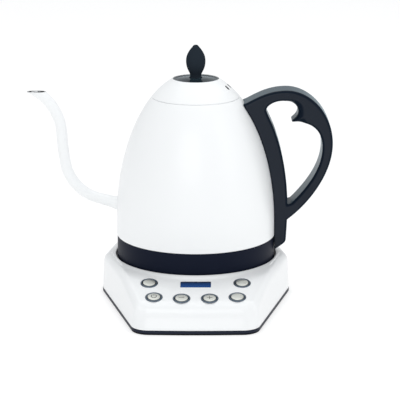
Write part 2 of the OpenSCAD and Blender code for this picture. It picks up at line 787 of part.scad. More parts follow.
module knob_disc() color([0.1, 0.11, 0.13]) at_kettle() {
    rotate_extrude($fn = 120) polygon([[screw_hole_r, disc_z], [disc_r, disc_z],
        [disc_r, disc_top], [disc_r - 0.6, disc_top + 0.15], [disc_r - 1.4, disc_top],
        [neck_knob_r + 1, disc_top - 0.3], [screw_hole_r, disc_top - 0.3]]);
}

module lid_knob() color(black) at_kettle() translate([0, 0, disc_top - 0.3]) {
    neck_z = 5;
    wide_z = 17;
    tip_r = 1.9;
    rotate_extrude($fn = 72) polygon(concat(
        [[knob_hole_r, 0], [neck_knob_r + 0.7, 0], [neck_knob_r + 0.1, 1.2]],
        curve([neck_knob_r, neck_z], [neck_knob_r + 0.5, neck_z + 3.4], [knob_r, wide_z - 5.5],
            [knob_r, wide_z], 9),
        curve([knob_r, wide_z + 0.2], [knob_r, wide_z + 5.5], [knob_r - 3.7, knob_h - 4],
            [tip_r, knob_h - 0.4], 10),
        [[tip_r - 0.6, knob_h], [0, knob_h], [0, 11], [knob_hole_r, 11]]));
}

module knob_screw() color(steel) at_kettle() difference() {
    union() {
        translate([0, 0, plate_liner_z - 2]) cylinder(h = 2, r = 3.4, $fn = 32);
        translate([0, 0, plate_liner_z - 0.5]) cylinder(h = disc_top + 9 - plate_liner_z, r = screw_r);
    }
    screw_cross(plate_liner_z - 2, 1.1);
}

// ---- Power base ----------------------------------------------------------------------------

base_corners = [[base_half, 0], [rear_half, rear_y], [-rear_half, rear_y], [-base_half, 0],
    [-front_half, -front_y], [0, -front_y - front_bow], [front_half, -front_y]];
base_radii = [22, rear_corner_r, rear_corner_r, 22, 16, 700, 16];

// The base's outline from above, moved inwards by d
function base_outline(d) = rounded(inset(base_corners, d), [for (r = base_radii) max(r - d, 2)], 7);

// The cover's outer form, moved inwards by d
module cover_form(d) {
    edge = cover_edge - d;
    high = base_h - d;
    side = [[far, -far], [far, high], [-panel_y + panel_dip / tan(panel_slope), high],
        [-fold_y, fold_z - d / cos(panel_slope)],
        [-front_y - front_bow + cover_inset + d, cover_z], [-front_y - front_bow + cover_inset + d, -far]];
    intersection() {
        hull() {
            translate([0, 0, cover_z - (d > 0 ? 1 : 0)])
                linear_extrude(eps) polygon(base_outline(cover_inset + d));
            for (t = [0:15:90]) translate([0, 0, high - edge + edge * sin(t) - eps])
                linear_extrude(eps) polygon(base_outline(cover_inset + cover_draft + d + edge * (1 - cos(t))));
        }
        translate([-far / 2, 0, 0]) rotate([90, 0, 90]) linear_extrude(far)
            polygon(rounded(side, [0, 0, 12, 9, 0, 0], 5));
    }
}

module base_cover() color(paint) {
    pad_y = rear_y - cover_inset + 0.3;
    difference() {
        union() {
            difference() {
                cover_form(0);
                cover_form(cover_t);
            }
            intersection() {
                cover_form(0);
                union() {
                    translate([0, 0, seat_z - cover_t]) cylinder(h = far, r = seat_r + cover_t);
                    for (p = tray_screw_spots) translate([p[0], p[1], tray_top + 3])
                        cylinder(h = seat_z - cover_t - tray_top - 2, r = boss_r);
                }
            }
            at_panel() for (p = board_post_spots) translate([p[0], p[1], board_z])
                cylinder(h = -board_z - 1, r = 3);
            translate([-pad_half, pad_y - 4, cover_z]) cube([2 * pad_half, 4, cord_z + pad_half - cover_z]);
        }
        translate([0, 0, seat_z]) cylinder(h = far, r = seat_r);
        translate([0, 0, seat_z - far / 2]) cylinder(h = far, r = post_hole_r);
        for (p = tray_screw_spots) translate([p[0], p[1], 0]) cylinder(h = tray_top + 15, r = boss_hole_r);
        at_panel() {
            for (p = board_post_spots) translate([p[0], p[1], board_z - 1]) cylinder(h = 6, r = 1.2);
            for (p = button_spots) translate([p[0], p[1], -6]) cylinder(h = 20, r = sleeve_r + 0.05);
            translate([-window_w / 2 - 0.1, -window_y - window_h / 2 - 0.1, -8])
                cube([window_w + 0.2, window_h + 0.2, 20]);
        }
        translate([0, pad_y + 5, cord_z]) rotate([90, 0, 0]) cylinder(h = 20, r = cord_hole_r + 2.05);
    }
}

module tray_screw_places() {
    for (p = tray_screw_spots) translate([p[0], p[1], 0]) children();
}

module base_tray() color(black) {
    rim_gap = 0.3;
    rim_t = 1.6;
    rim_in = cover_inset + cover_draft + cover_t + rim_gap;
    difference() {
        union() {
            translate([0, 0, tray_z]) linear_extrude(tray_t) polygon(base_outline(0));
            translate([0, 0, tray_z]) linear_extrude(lip_h - eps) difference() {
                polygon(base_outline(0));
                polygon(base_outline(cover_inset + cover_t));
            }
            translate([0, 0, tray_z]) linear_extrude(lip_h + 3) difference() {
                polygon(base_outline(rim_in));
                polygon(base_outline(rim_in + rim_t));
                translate([-pad_half - 1, rear_y - 12]) square([2 * pad_half + 2, 20]);
            }
            tray_screw_places() translate([0, 0, tray_z]) cylinder(h = tray_t + 2.7, r = boss_r + 1);
            for (p = power_post_spots) translate([p[0], p[1], tray_z])
                cylinder(h = power_board_z - tray_z, r = 3.4);
        }
        tray_screw_places() {
            cylinder(h = far, r = 1.8);
            cylinder(h = tray_z + 2.4, r = 3.2);
        }
        for (p = power_post_spots) translate([p[0], p[1], tray_top]) cylinder(h = far, r = 1.2);
        for (p = foot_spots) translate([p[0], p[1], 0]) cylinder(h = tray_z + 1, r = foot_r + 0.05);
        for (k = [-4:4]) translate([7 * k - 1.2, -24, 0]) cube([2.4, 30, 10]);
    }
}

module rubber_feet() color([0.1, 0.1, 0.11]) for (p = foot_spots) translate([p[0], p[1], 0]) {
    cylinder(h = 0.6, r1 = foot_r - 0.7, r2 = foot_r);
    translate([0, 0, 0.6]) cylinder(h = tray_z + 0.4, r = foot_r);
}

module tray_screws() color(steel) tray_screw_places() difference() {
    union() {
        translate([0, 0, tray_z + 0.5]) cylinder(h = 1.9, r = 2.9, $fn = 32);
        translate([0, 0, tray_z + 2]) cylinder(h = 12, r = thread_r, $fn = 24);
    }
    screw_cross(tray_z + 0.5, 1.1);
}

module power_board() color(green) difference() {
    translate([-power_board_x, power_board_y, power_board_z]) cube([2 * power_board_x, power_board_l, board_t]);
    for (p = power_post_spots) translate([p[0], p[1], 0]) cylinder(h = far, r = 1.6);
}

power_top = power_board_z + board_t;

module relay() color([0.1, 0.25, 0.5]) translate([-40, power_board_y + 20, power_top]) {
    cube([19, 15.5, 15]);
}

module transformer() color([0.85, 0.72, 0.25]) translate([16, power_board_y + 14, power_top]) {
    cube([26, 22, 3]);
    translate([2, 2, 3]) cube([22, 18, 12]);
}

module filter_capacitors() color([0.15, 0.2, 0.35]) {
    for (y = [20, 30]) translate([-15, power_board_y + y, power_top]) {
        cylinder(h = 14, r = 4.5);
        translate([0, 0, 14]) cylinder(h = 0.5, r = 4);
    }
    translate([-38, power_board_y + 6, power_top]) cube([18, 7, 11]);
}

module terminal_block() color([0.9, 0.9, 0.88]) difference() {
    translate([-13, terminal_y, power_top]) cube([26, 9, 9]);
    for (x = [-8, 0, 8]) {
        translate([x, terminal_y + 4.5, power_top + 4]) cylinder(h = far, r = 1.8, $fn = 24);
        translate([x, terminal_y - 1, power_top + 5]) rotate([-90, 0, 0]) cylinder(h = 3.5, r = 1.5, $fn = 24);
    }
}

// Three wires from the terminal block to the blades under the post
module base_wiring() color([0.2, 0.35, 0.7]) {
    wire_r = 0.9;
    blade_z = seat_z - cover_t - 14;
    for (k = [0:2]) {
        x = [0, -8, 8][k];
        blade = turned([8.4, 0, blade_z - wire_r], 90 + 120 * k);
        wire_run([blade, blade + [x / 2, 2.5, -0.6], [x, power_board_y + 15, power_top + 3],
            [x, terminal_y - 5, power_top + 3], [x, terminal_y - 1.5, power_top + 5],
            [x, terminal_y + 1.6, power_top + 5]], wire_r);
    }
}

// ---- Control panel -------------------------------------------------------------------------

module control_board() color(green) at_panel() difference() {
    translate([-board_w / 2, -board_low, board_z - board_t]) cube([board_w, board_low, board_t]);
    for (p = board_post_spots) translate([p[0], p[1], board_z - 5]) cylinder(h = 6, r = 1.5);
}

module board_screws() color(steel) {
    at_panel() for (p = board_post_spots) translate([p[0], p[1], 0]) {
        translate([0, 0, board_z - board_t - 1.6]) cylinder(h = 1.6, r = 2.6, $fn = 32);
        translate([0, 0, board_z - board_t - 0.5]) cylinder(h = 5.5, r = 1.15, $fn = 24);
    }
    for (p = power_post_spots) translate([p[0], p[1], 0]) {
        translate([0, 0, power_top]) cylinder(h = 1.6, r = 2.6, $fn = 32);
        translate([0, 0, tray_top + 0.5]) cylinder(h = power_top - tray_top, r = 1.15, $fn = 24);
    }
}

module button_switches() color([0.2, 0.2, 0.22]) at_panel() for (p = button_spots)
    translate([p[0], p[1], board_z]) difference() {
        translate([-3, -3, 0]) cube([6, 6, 3.5]);
        translate([0, 0, switch_well]) cylinder(h = 5, r = 2.1, $fn = 32);
    }

module buzzer() color([0.12, 0.12, 0.13]) at_panel() translate([0, -25, board_z]) difference() {
    cylinder(h = 5, r = 4.5);
    translate([0, 0, 3]) cylinder(h = 5, r = 0.9, $fn = 24);
}

// Flat cable from the control board's back to the power board
module ribbon_cable() color([0.7, 0.7, 0.72]) {
    t = 0.8;
    start_y = -panel_y - 30 * cos(panel_slope) - (board_z - board_t) * sin(panel_slope);
    start_z = panel_z - 30 * sin(panel_slope) + (board_z - board_t) * cos(panel_slope);
    translate([-9, 0, 0]) rotate([90, 0, 90]) linear_extrude(18) polygon([
        [start_y, start_z - 0.2], [start_y + 1, start_z - 5], [start_y + 5, tray_top + 1.6],
        [power_board_y - 6, tray_top + 1.6], [power_board_y + 4, power_board_z - 0.1],
        [power_board_y + 5.2, power_board_z - 0.1], [power_board_y - 5.6, tray_top + 1.6 - t],
        [start_y + 4.4, tray_top + 1.6 - t], [start_y + 0.2, start_z - 5.3], [start_y - 0.9, start_z - 0.4]]);
}

module display_module() color([0.5, 0.52, 0.55]) at_panel() {
    translate([-window_w / 2 - 3, -window_y - window_h / 2 - 2.5, board_z])
        cube([window_w + 6, window_h + 5, 2]);
    translate([-window_w / 2 - 1.5, -window_y - window_h / 2 - 1.5, board_z + 2])
        cube([window_w + 3, window_h + 3, -board_z - 2 - cover_t - 1.2]);
}

module display_window() color([0.1, 0.15, 0.45]) at_panel() {
    translate([-window_w / 2, -window_y - window_h / 2, -cover_t]) cube([window_w, window_h, cover_t - 0.15]);
    translate([-window_w / 2 - 1, -window_y - window_h / 2 - 1, -cover_t - 1])
        cube([window_w + 2, window_h + 2, 1]);
}

module button_bezels() color([0.32, 0.36, 0.42]) at_panel() for (p = button_spots)
    translate([p[0], p[1], 0]) rotate_extrude() polygon([
        [bezel_bore, -sleeve_l], [sleeve_r, -sleeve_l], [sleeve_r, 0.02], [bezel_r, 0.02],
        [bezel_r, 0.35], [bezel_r - 0.5, 0.75], [bezel_bore + 0.5, 0.75], [bezel_bore, 0.35]]);

// A cap with its retaining flange, and the stem that works the switch
module button(k) color([0.8, 0.8, 0.77]) at_panel() translate([button_spots[k][0], button_spots[k][1], 0]) {
    stem_low = board_z + switch_well + button_travel + 0.3;
    rotate_extrude() polygon([
        [0, stem_low], [1.7, stem_low], [1.7, -sleeve_l - 1.5], [bezel_bore + 0.5, -sleeve_l - 1.5],
        [bezel_bore + 0.5, -sleeve_l - 0.3], [cap_r, -sleeve_l - 0.3], [cap_r, 0.65],
        [cap_r - 0.5, 1.05], [cap_r - 1.4, 1.15], [0, 1.2]]);
}

module button_power() button(0);
module button_minus() button(1);
module button_plus() button(2);
module button_hold() button(3);
module button_timer() button(4);
module button_units() button(5);

// ---- Cord inlet ----------------------------------------------------------------------------

module cord_gland() color([0.12, 0.12, 0.13]) {
    pad_y = rear_y - cover_inset + 0.3;
    translate([0, pad_y, cord_z]) rotate([-90, 0, 0]) rotate_extrude() polygon([
        [cord_hole_r, -12], [cord_hole_r + 2, -12], [cord_hole_r + 2, -6],
        [cord_hole_r + 3.4, -6], [cord_hole_r + 3.4, -4], [cord_hole_r + 2, -4],
        [cord_hole_r + 2, 0], [cord_hole_r + 3.6, 0], [cord_hole_r + 3.6, 1.2],
        [cord_hole_r + 3, 1.8], [cord_hole_r, 1.8]]);
}

module cord_clamp() color([0.2, 0.2, 0.22]) difference() {
    clamp_y = power_rear_y + 1.5;
    translate([-9, clamp_y, tray_top]) cube([18, 5, cord_z + 5.6 - tray_top]);
    translate([0, clamp_y - 1, cord_z]) rotate([-90, 0, 0]) cylinder(h = 7, r = cord_hole_r + 0.1);
    translate([-20, clamp_y - 1, cord_z - 0.2]) cube([40, 7, 0.4]);
}

kettle_shell();
vessel_floor();
spout_tube();
base_ring();
bottom_cover();
bottom_screws();
heat_plate();
heating_element();
temperature_probe();
thermal_cutout();
element_leads();
kettle_connector();
kettle_contacts();
handle();
handle_bracket_upper();
handle_bracket_lower();
handle_screws();
lid_shell();
lid_liner();
lid_gasket();
knob_disc();
lid_knob();
knob_screw();
base_cover();
base_tray();
rubber_feet();
tray_screws();
base_connector();
base_contacts();
power_board();
relay();
transformer();
filter_capacitors();
terminal_block();
base_wiring();
control_board();
board_screws();
button_switches();
buzzer();
ribbon_cable();
display_module();
display_window();
button_bezels();
button_power();
button_minus();
button_plus();
button_hold();
button_timer();
button_units();
cord_gland();
cord_clamp();
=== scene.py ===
import bmesh
import bpy
import math
import numpy
from mathutils import Matrix, Vector


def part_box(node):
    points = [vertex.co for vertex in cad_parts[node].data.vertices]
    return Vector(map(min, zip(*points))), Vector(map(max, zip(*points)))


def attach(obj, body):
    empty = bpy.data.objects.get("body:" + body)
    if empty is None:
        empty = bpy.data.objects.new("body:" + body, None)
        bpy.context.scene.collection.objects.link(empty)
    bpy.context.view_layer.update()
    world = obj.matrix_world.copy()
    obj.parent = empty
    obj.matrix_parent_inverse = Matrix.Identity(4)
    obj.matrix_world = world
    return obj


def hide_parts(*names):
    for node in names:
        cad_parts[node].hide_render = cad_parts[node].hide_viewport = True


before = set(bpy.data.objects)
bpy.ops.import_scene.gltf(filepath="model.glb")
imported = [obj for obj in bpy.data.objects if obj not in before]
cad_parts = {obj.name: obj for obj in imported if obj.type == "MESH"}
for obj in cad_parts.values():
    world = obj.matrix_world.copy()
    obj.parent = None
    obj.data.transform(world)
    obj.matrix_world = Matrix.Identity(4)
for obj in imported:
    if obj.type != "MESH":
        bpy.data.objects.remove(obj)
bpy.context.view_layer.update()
mm = 0.001
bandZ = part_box("kettle_shell")[0].z  # top of the black band, where the kettle's own heights start
print("frame loaded,", len(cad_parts), "nodes")

# camera, floor and light

studio = dict(
    cameraPlace=(0.0037, -1.5, 0.4824), cameraDown=14.84, lens=156.8,  # metres, degrees, mm
    floorSize=60.0, floorTint=(0.44, 0.44, 0.44, 1), floorGlow=0.59,
    nearGlow=0.06, nearReach=0.25,  # the floor's extra glow round the kettle, and where it ends
    gapInset=0.9, gapHeight=0.05,  # the unlit patch under the base, mm
    skyTint=(0.97, 0.985, 1.0, 1), skyPower=0.7,
    lights=[
        # name, place, target, width, height, watts
        ("key", (-0.35, -1.9, 1.0), (0, 0, 0.1), 1.3, 1.2, 7.6),
        ("fill", (1.5, -1.0, 0.9), (0, 0, 0.1), 0.7, 1.4, 2.8),
        ("top", (0.1, 0.3, 1.9), (0, 0, 0.1), 2.4, 2.4, 15),
        ("side", (1.3, 0.1, 0.45), (0, 0, 0.15), 1.2, 0.9, 0.8),
    ],
)


def setStudio(s):
    scene = bpy.context.scene
    scene.view_settings.view_transform = "Standard"
    camera = bpy.data.objects.new("camera", bpy.data.cameras.new("camera"))
    scene.collection.objects.link(camera)
    camera.location = s["cameraPlace"]
    camera.rotation_euler = (math.radians(90 - s["cameraDown"]), 0, 0)
    camera.data.lens = s["lens"]
    scene.camera = camera
    world = bpy.data.worlds.new("sky")
    world.use_nodes = True
    sky = world.node_tree.nodes["Background"]
    sky.inputs["Color"].default_value = s["skyTint"]
    sky.inputs["Strength"].default_value = s["skyPower"]
    scene.world = world
    for name, place, target, width, height, watts in s["lights"]:
        lamp = bpy.data.lights.new(name, "AREA")
        lamp.shape = "RECTANGLE"
        lamp.size, lamp.size_y = width, height
        lamp.energy = watts
        holder = bpy.data.objects.new(name, lamp)
        holder.location = place
        holder.rotation_euler = (Vector(target) - Vector(place)).to_track_quat("-Z", "Y").to_euler()
        scene.collection.objects.link(holder)


setStudio(studio)
print("studio set")

# materials


class Signal:
    # a socket that takes part in sums
    def __init__(self, finish, socket):
        self.finish, self.socket = finish, socket

    def maths(self, operation, *values):
        return self.finish.node("ShaderNodeMath", dict(operation=operation), dict(enumerate(values)))

    def __add__(self, other):
        return self.maths("ADD", self, other)

    def __radd__(self, other):
        return self.maths("ADD", other, self)

    def __sub__(self, other):
        return self.maths("SUBTRACT", self, other)

    def __rsub__(self, other):
        return self.maths("SUBTRACT", other, self)

    def __mul__(self, other):
        return self.maths("MULTIPLY", self, other)

    def __rmul__(self, other):
        return self.maths("MULTIPLY", other, self)

    def __truediv__(self, other):
        return self.maths("DIVIDE", self, other)

    def __rtruediv__(self, other):
        return self.maths("DIVIDE", other, self)

    def __abs__(self):
        return self.maths("ABSOLUTE", self)

    def clamped(self):
        return self.finish.node("ShaderNodeClamp", {}, {"Value": self})


class Finish:
    # a material, its shader, and the nodes that feed it
    def __init__(self, name, **sockets):
        self.material = bpy.data.materials.new(name)
        self.material.use_nodes = True
        self.tree = self.material.node_tree
        self.shader = self.tree.nodes["Principled BSDF"]
        self.place = self.node("ShaderNodeTexCoord", output="Object")
        self.set(**sockets)

    def node(self, kind, settings=None, sockets=None, output=0):
        made = self.tree.nodes.new(kind)
        for key, value in (settings or {}).items():
            if key == "stops":
                self.setStops(made.color_ramp, value)
            else:
                setattr(made, key, value)
        for key, value in (sockets or {}).items():
            self.feed(made.inputs[key], value)
        return Signal(self, made.outputs[output])

    def setStops(self, ramp, stops):
        while len(ramp.elements) < len(stops):
            ramp.elements.new(1)
        for element, (position, level) in zip(ramp.elements, stops):
            element.position = position
            element.color = level if isinstance(level, tuple) else (level, level, level, 1)

    def feed(self, socket, value):
        if isinstance(value, Signal):
            self.tree.links.new(value.socket, socket)
        else:
            socket.default_value = value

    def set(self, **sockets):
        for key, value in sockets.items():
            words = "".join(" " + c if c.isupper() else c for c in key)
            self.feed(self.shader.inputs[words[0].upper() + words[1:]], value)
        return self

    def noise(self, scale, detail=2.0, roughness=0.5, place=None):
        return self.node("ShaderNodeTexNoise", {}, {
            "Vector": place or self.place, "Scale": scale, "Detail": detail, "Roughness": roughness})

    def stretched(self, scale):
        return self.node("ShaderNodeMapping", {}, {"Vector": self.place, "Scale": scale})

    def axes(self, vector=None):
        split = self.node("ShaderNodeSeparateXYZ", {}, {"Vector": vector or self.place})
        outputs = split.socket.node.outputs
        return [Signal(self, outputs[k]) for k in range(3)]

    def ramp(self, value, stops):
        return self.node("ShaderNodeValToRGB", dict(stops=stops), {"Fac": value})

    def mix(self, share, first, second):
        return self.node("ShaderNodeMix", dict(data_type="RGBA"), {0: share, 6: first, 7: second}, output=2)

    def bump(self, height, strength, distance):
        self.set(normal=self.node("ShaderNodeBump", {}, {
            "Height": height, "Strength": strength, "Distance": distance}, output="Normal"))
        return self


def shade(colour, share):
    # a darker or lighter tone of a colour
    return tuple(c * share for c in colour[:3]) + (1,)


def enamel(name, look):
    # sprayed and baked paint: a slow drift of tone, a slight orange peel and a clear gloss
    finish = Finish(name, coatWeight=look["coat"], coatRoughness=0.07)
    cloud, peel = finish.noise(14), finish.noise(look["peelScale"], 0)
    finish.set(
        baseColor=finish.mix(cloud, look["colour"], shade(look["colour"], 0.985)),
        roughness=look["roughness"] + (cloud - 0.5) * 0.04)
    return finish.bump(peel, look["peel"], 0.0002).material


def plastic(name, look, specular, **sockets):
    # how much it mirrors, and the tinted bloom that it has when it is seen at a low angle
    finish = Finish(name, sheenWeight=look.get("sheen", 0), sheenRoughness=0.35,
                    sheenTint=look.get("gloss", (1, 1, 1, 1)), **sockets)
    finish.shader.inputs["Specular IOR Level"].default_value = look.get("specular", specular)
    return finish


def moulded(name, look):
    # dark thermoplastic with the fine grain of an eroded mould
    finish = plastic(name, look, 0.4)
    grain, cloud = finish.noise(look["grainScale"], 3, 0.6), finish.noise(30)
    finish.set(
        baseColor=finish.mix(grain, shade(look["colour"], 0.86), shade(look["colour"], 1.14)),
        roughness=look["roughness"] + (grain - 0.5) * 0.12 + (cloud - 0.5) * 0.05)
    if "flats" in look:
        # the flat faces and the rims have a light gloss, the rounded edges between them are dull
        normal = finish.node("ShaderNodeTexCoord", output="Normal")
        facing = abs(finish.axes(normal)[1])
        finish.set(coatRoughness=0.3, coatWeight=finish.ramp(facing, [
            (0.1, look["flats"]), (0.4, 0.0), (0.9, 0.0), (0.99, look["flats"])]))
    return finish.bump(grain, look["grain"], 0.0002).material


def polished(name, look):
    # hard gloss plastic with faint wiping marks
    finish = plastic(name, look, 0.5, coatWeight=look["coat"], coatRoughness=0.03)
    wipe = finish.noise(120, 3, 0.6, finish.stretched((1, 9, 1)))
    smear = finish.ramp(finish.noise(26), [(0.42, 0.0), (0.66, 1.0)])
    finish.set(
        baseColor=finish.mix(wipe, look["colour"], shade(look["colour"], 1.12)),
        roughness=look["roughness"] + wipe * 0.05 + smear * 0.03)
    return finish.bump(wipe, 0.02, 0.0001).material


def brushed(name, look):
    # drawn or turned metal: fine lines along one axis
    finish = Finish(name, metallic=1.0)
    lines = finish.noise(look["lineScale"], 4, 0.65, finish.stretched(look["stretch"]))
    stain = finish.noise(22, 3)
    finish.set(
        baseColor=finish.mix(lines * 0.6 + stain * 0.4, shade(look["colour"], 0.82), look["colour"]),
        roughness=look["roughness"] + (lines - 0.5) * 0.22 + (stain - 0.5) * 0.08)
    return finish.bump(lines, look.get("bump", 0.12), 0.0001).material


def rubbery(name, look):
    # matt and slightly porous, with pale dust in places
    finish = Finish(name, sheenWeight=0.15, sheenRoughness=0.5)
    pores = finish.noise(1400, 3, 0.6)
    dust = finish.ramp(finish.noise(40, 4), [(0.5, 0.0), (0.8, 1.0)])
    finish.set(
        baseColor=finish.mix(dust * 0.25, look["colour"], shade(look["colour"], 2.4)),
        roughness=0.72 + pores * 0.15)
    return finish.bump(pores, 0.25, 0.0002).material


def circuit(name, look):
    # solder mask over copper tracks, with tinned pads
    finish = Finish(name, coatWeight=0.3, coatRoughness=0.2)
    tracks = finish.node("ShaderNodeTexVoronoi", dict(distance="MANHATTAN", feature="F1"), {
        "Vector": finish.place, "Scale": 260, "Randomness": 0.35})
    pads = finish.node("ShaderNodeTexVoronoi", dict(distance="EUCLIDEAN"), {
        "Vector": finish.place, "Scale": 330, "Randomness": 0.2})
    onTrack = finish.ramp(tracks, [(0.30, 0.0), (0.36, 1.0)])
    onPad = finish.ramp(pads, [(0.13, 1.0), (0.16, 0.0)])
    mask = finish.mix(onTrack, shade(look["colour"], 1.7), look["colour"])
    finish.set(
        baseColor=finish.mix(onPad, mask, (0.55, 0.56, 0.55, 1)),
        metallic=finish.mix(onPad, (0, 0, 0, 1), (0.9, 0.9, 0.9, 1)),
        roughness=0.42 - onTrack * 0.1)
    return finish.bump(onTrack, 0.2, 0.0001).material


def lcd(name, look):
    # blue glass in painted light: a faint glow of its own, painted shade along its top and a brighter
    # painted tone towards its lower edge
    # the emission is a painted glow, since nothing behind the window is lit
    finish = Finish(name, coatWeight=1.0, coatRoughness=0.02, roughness=0.12, emissionStrength=0.35)
    y = finish.axes()[1]
    share = ((y - look["top"]) / (look["low"] - look["top"])).clamped()
    speck = finish.noise(900, 2)
    paintedTone = finish.ramp(share + (speck - 0.5) * 0.03, look["stops"])
    # the same painted tone is both the window's colour and its painted glow
    finish.set(baseColor=paintedTone, emissionColor=paintedTone)
    return finish.material


white = (0.890, 0.904, 0.910, 1)
navy = (0.0045, 0.0085, 0.024, 1)
blueBloom = (0.4, 0.8, 1, 1)
even = (1, 1, 1)  # no stretch of the metal's lines

paints = dict(
    body=enamel("enamel_white", dict(colour=white, roughness=0.36, coat=0.15, peelScale=160, peel=0.01)),
    cover=enamel("cover_white", dict(
        colour=shade(white, 0.965), roughness=0.3, coat=0.25, peelScale=190, peel=0.01)),
    grip=moulded("satin_navy", dict(
        colour=(0.004, 0.0085, 0.0175, 1), roughness=0.33, specular=0.05, flats=0.38, sheen=0.2,
        gloss=blueBloom, grainScale=2600, grain=0.08)),
    band=moulded("band_navy", dict(
        colour=shade(navy, 0.75), roughness=0.5, specular=0.1, grainScale=2600, grain=0.05)),
    knob=moulded("knob_navy", dict(
        colour=(0.019, 0.026, 0.035, 1), roughness=0.38, specular=0.0, grainScale=2600, grain=0.05)),
    trim=moulded("matte_navy", dict(
        colour=shade(navy, 0.9), roughness=0.5, specular=0.25, grainScale=2200, grain=0.2)),
    inner=moulded("inner_black", dict(
        colour=(0.022, 0.023, 0.026, 1), roughness=0.55, grainScale=1500, grain=0.25)),
    mark=moulded("mark_grey", dict(
        colour=(0.07, 0.07, 0.065, 1), roughness=0.5, grainScale=2000, grain=0.05)),
    block=moulded("terminal_grey", dict(
        colour=(0.6, 0.6, 0.57, 1), roughness=0.5, grainScale=1600, grain=0.1)),
    bakelite=moulded("cutout_brown", dict(
        colour=(0.11, 0.05, 0.03, 1), roughness=0.4, grainScale=900, grain=0.1)),
    ribbon=moulded("ribbon_grey", dict(
        colour=(0.36, 0.37, 0.39, 1), roughness=0.45, grainScale=900, grain=0.1)),
    disc=polished("gloss_black", dict(
        colour=(0.004, 0.005, 0.008, 1), roughness=0.12, specular=0.1, sheen=0.16, gloss=blueBloom, coat=0)),
    relay=polished("relay_blue", dict(colour=(0.02, 0.06, 0.26, 1), roughness=0.25, coat=0.2)),
    tape=polished("winding_tape", dict(colour=(0.62, 0.40, 0.05, 1), roughness=0.35, coat=0.2)),
    sleeve=polished("capacitor_sleeve", dict(colour=(0.02, 0.03, 0.10, 1), roughness=0.2, coat=0.4)),
    steel=brushed("drawn_steel", dict(
        colour=(0.62, 0.63, 0.64, 1), roughness=0.3, lineScale=160, stretch=(1, 1, 30))),
    floorSteel=brushed("rolled_steel", dict(
        colour=(0.6, 0.61, 0.62, 1), roughness=0.33, lineScale=130, stretch=(1, 30, 1))),
    screw=brushed("screw_steel", dict(
        colour=(0.55, 0.55, 0.56, 1), roughness=0.28, lineScale=700, stretch=even)),
    alloy=brushed("cast_alloy", dict(
        colour=(0.7, 0.71, 0.72, 1), roughness=0.48, lineScale=320, stretch=even, bump=0.3)),
    sheath=brushed("element_sheath", dict(
        colour=(0.33, 0.33, 0.35, 1), roughness=0.45, lineScale=500, stretch=even, bump=0.2)),
    brass=brushed("contact_brass", dict(
        colour=(0.72, 0.53, 0.24, 1), roughness=0.26, lineScale=420, stretch=(1, 1, 8))),
    silver=brushed("cap_silver", dict(
        colour=(0.74, 0.75, 0.70, 1), roughness=0.36, lineScale=900, stretch=even, bump=0.1)),
    chrome=brushed("bezel_chrome", dict(
        colour=(0.12, 0.15, 0.19, 1), roughness=0.1, lineScale=500, stretch=even, bump=0.03)),
    rubber=rubbery("foot_rubber", dict(colour=(0.02, 0.02, 0.021, 1))),
    seal=rubbery("seal_silicone", dict(colour=(0.62, 0.62, 0.6, 1))),
    leads=rubbery("red_lead", dict(colour=(0.42, 0.03, 0.02, 1))),
    wires=rubbery("blue_wire", dict(colour=(0.03, 0.10, 0.42, 1))),
    board=circuit("board_green", dict(colour=(0.012, 0.10, 0.045, 1))),
)
print("materials made,", len(bpy.data.materials))

# mesh helpers


def addPiece(name, verts, faces, paint, body, replaces, slot, sharp=35):
    mesh = bpy.data.meshes.new(name)
    mesh.from_pydata([tuple(v) for v in verts], [], faces)
    return finishPiece(name, mesh, paint, body, replaces, sharp)


def finishPiece(name, mesh, paint, body, replaces, sharp=35):
    piece = bpy.data.objects.new(name, mesh)
    bpy.context.scene.collection.objects.link(piece)
    tidyNormals(mesh, sharp)
    mesh.materials.append(paint)
    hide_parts(*replaces)
    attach(piece, body)
    return piece


def tidyNormals(mesh, sharp):
    # faces turned outwards and smooth, with hard edges above an angle
    work = bmesh.new()
    work.from_mesh(mesh)
    bmesh.ops.recalc_face_normals(work, faces=work.faces)
    work.to_mesh(mesh)
    work.free()
    mesh.polygons.foreach_set("use_smooth", [True] * len(mesh.polygons))
    mesh.set_sharp_from_angle(angle=math.radians(sharp))


def quads(count, low, high):
    # the faces between two rings of points, which start at these indices
    return [[low + k, low + (k + 1) % count, high + (k + 1) % count, high + k] for k in range(count)]


def spin(profile, steps, place=Matrix()):
    # turns a closed outline of (radius, height) in mm round the Z axis
    verts, faces, rows = [], [], []
    for r, z in profile:
        if r < 1e-6:
            rows.append([len(verts)] * steps)
            verts.append(place @ Vector((0, 0, z * mm)))
            continue
        rows.append([len(verts) + k for k in range(steps)])
        for k in range(steps):
            a = 2 * math.pi * k / steps
            verts.append(place @ Vector((r * math.cos(a) * mm, r * math.sin(a) * mm, z * mm)))
    for i in range(len(rows)):
        a, b = rows[i], rows[(i + 1) % len(rows)]
        for k in range(steps):
            n = (k + 1) % steps
            corners = [a[k], a[n], b[n], b[k]]
            face = [c for j, c in enumerate(corners) if c != corners[j - 1]]
            if len(set(face)) > 2:
                faces.append(face)
    return verts, faces


def rounded(points, radii, steps=5):
    # a closed outline in which each corner has its own radius; 0 leaves it sharp
    out, count = [], len(points)
    for k, radius in enumerate(radii):
        p, q, s = (Vector(points[(k + j) % count]) for j in (-1, 0, 1))
        if radius <= 0:
            out.append((q.x, q.y))
            continue
        u, v = (p - q).normalized(), (s - q).normalized()
        half = math.acos(max(-1, min(1, u.dot(v)))) / 2
        centre = q + (u + v).normalized() * radius / math.sin(half)
        start, end = q + u * radius / math.tan(half) - centre, q + v * radius / math.tan(half) - centre
        a = math.atan2(start.y, start.x)
        sweep = (math.atan2(end.y, end.x) - a + math.pi) % (2 * math.pi) - math.pi
        for i in range(steps + 1):
            t = a + sweep * i / steps
            out.append((centre.x + radius * math.cos(t), centre.y + radius * math.sin(t)))
    return out


def rectangle(x0, y0, x1, y1, radius, steps=5):
    return rounded([(x0, y0), (x1, y0), (x1, y1), (x0, y1)], [radius] * 4, steps)


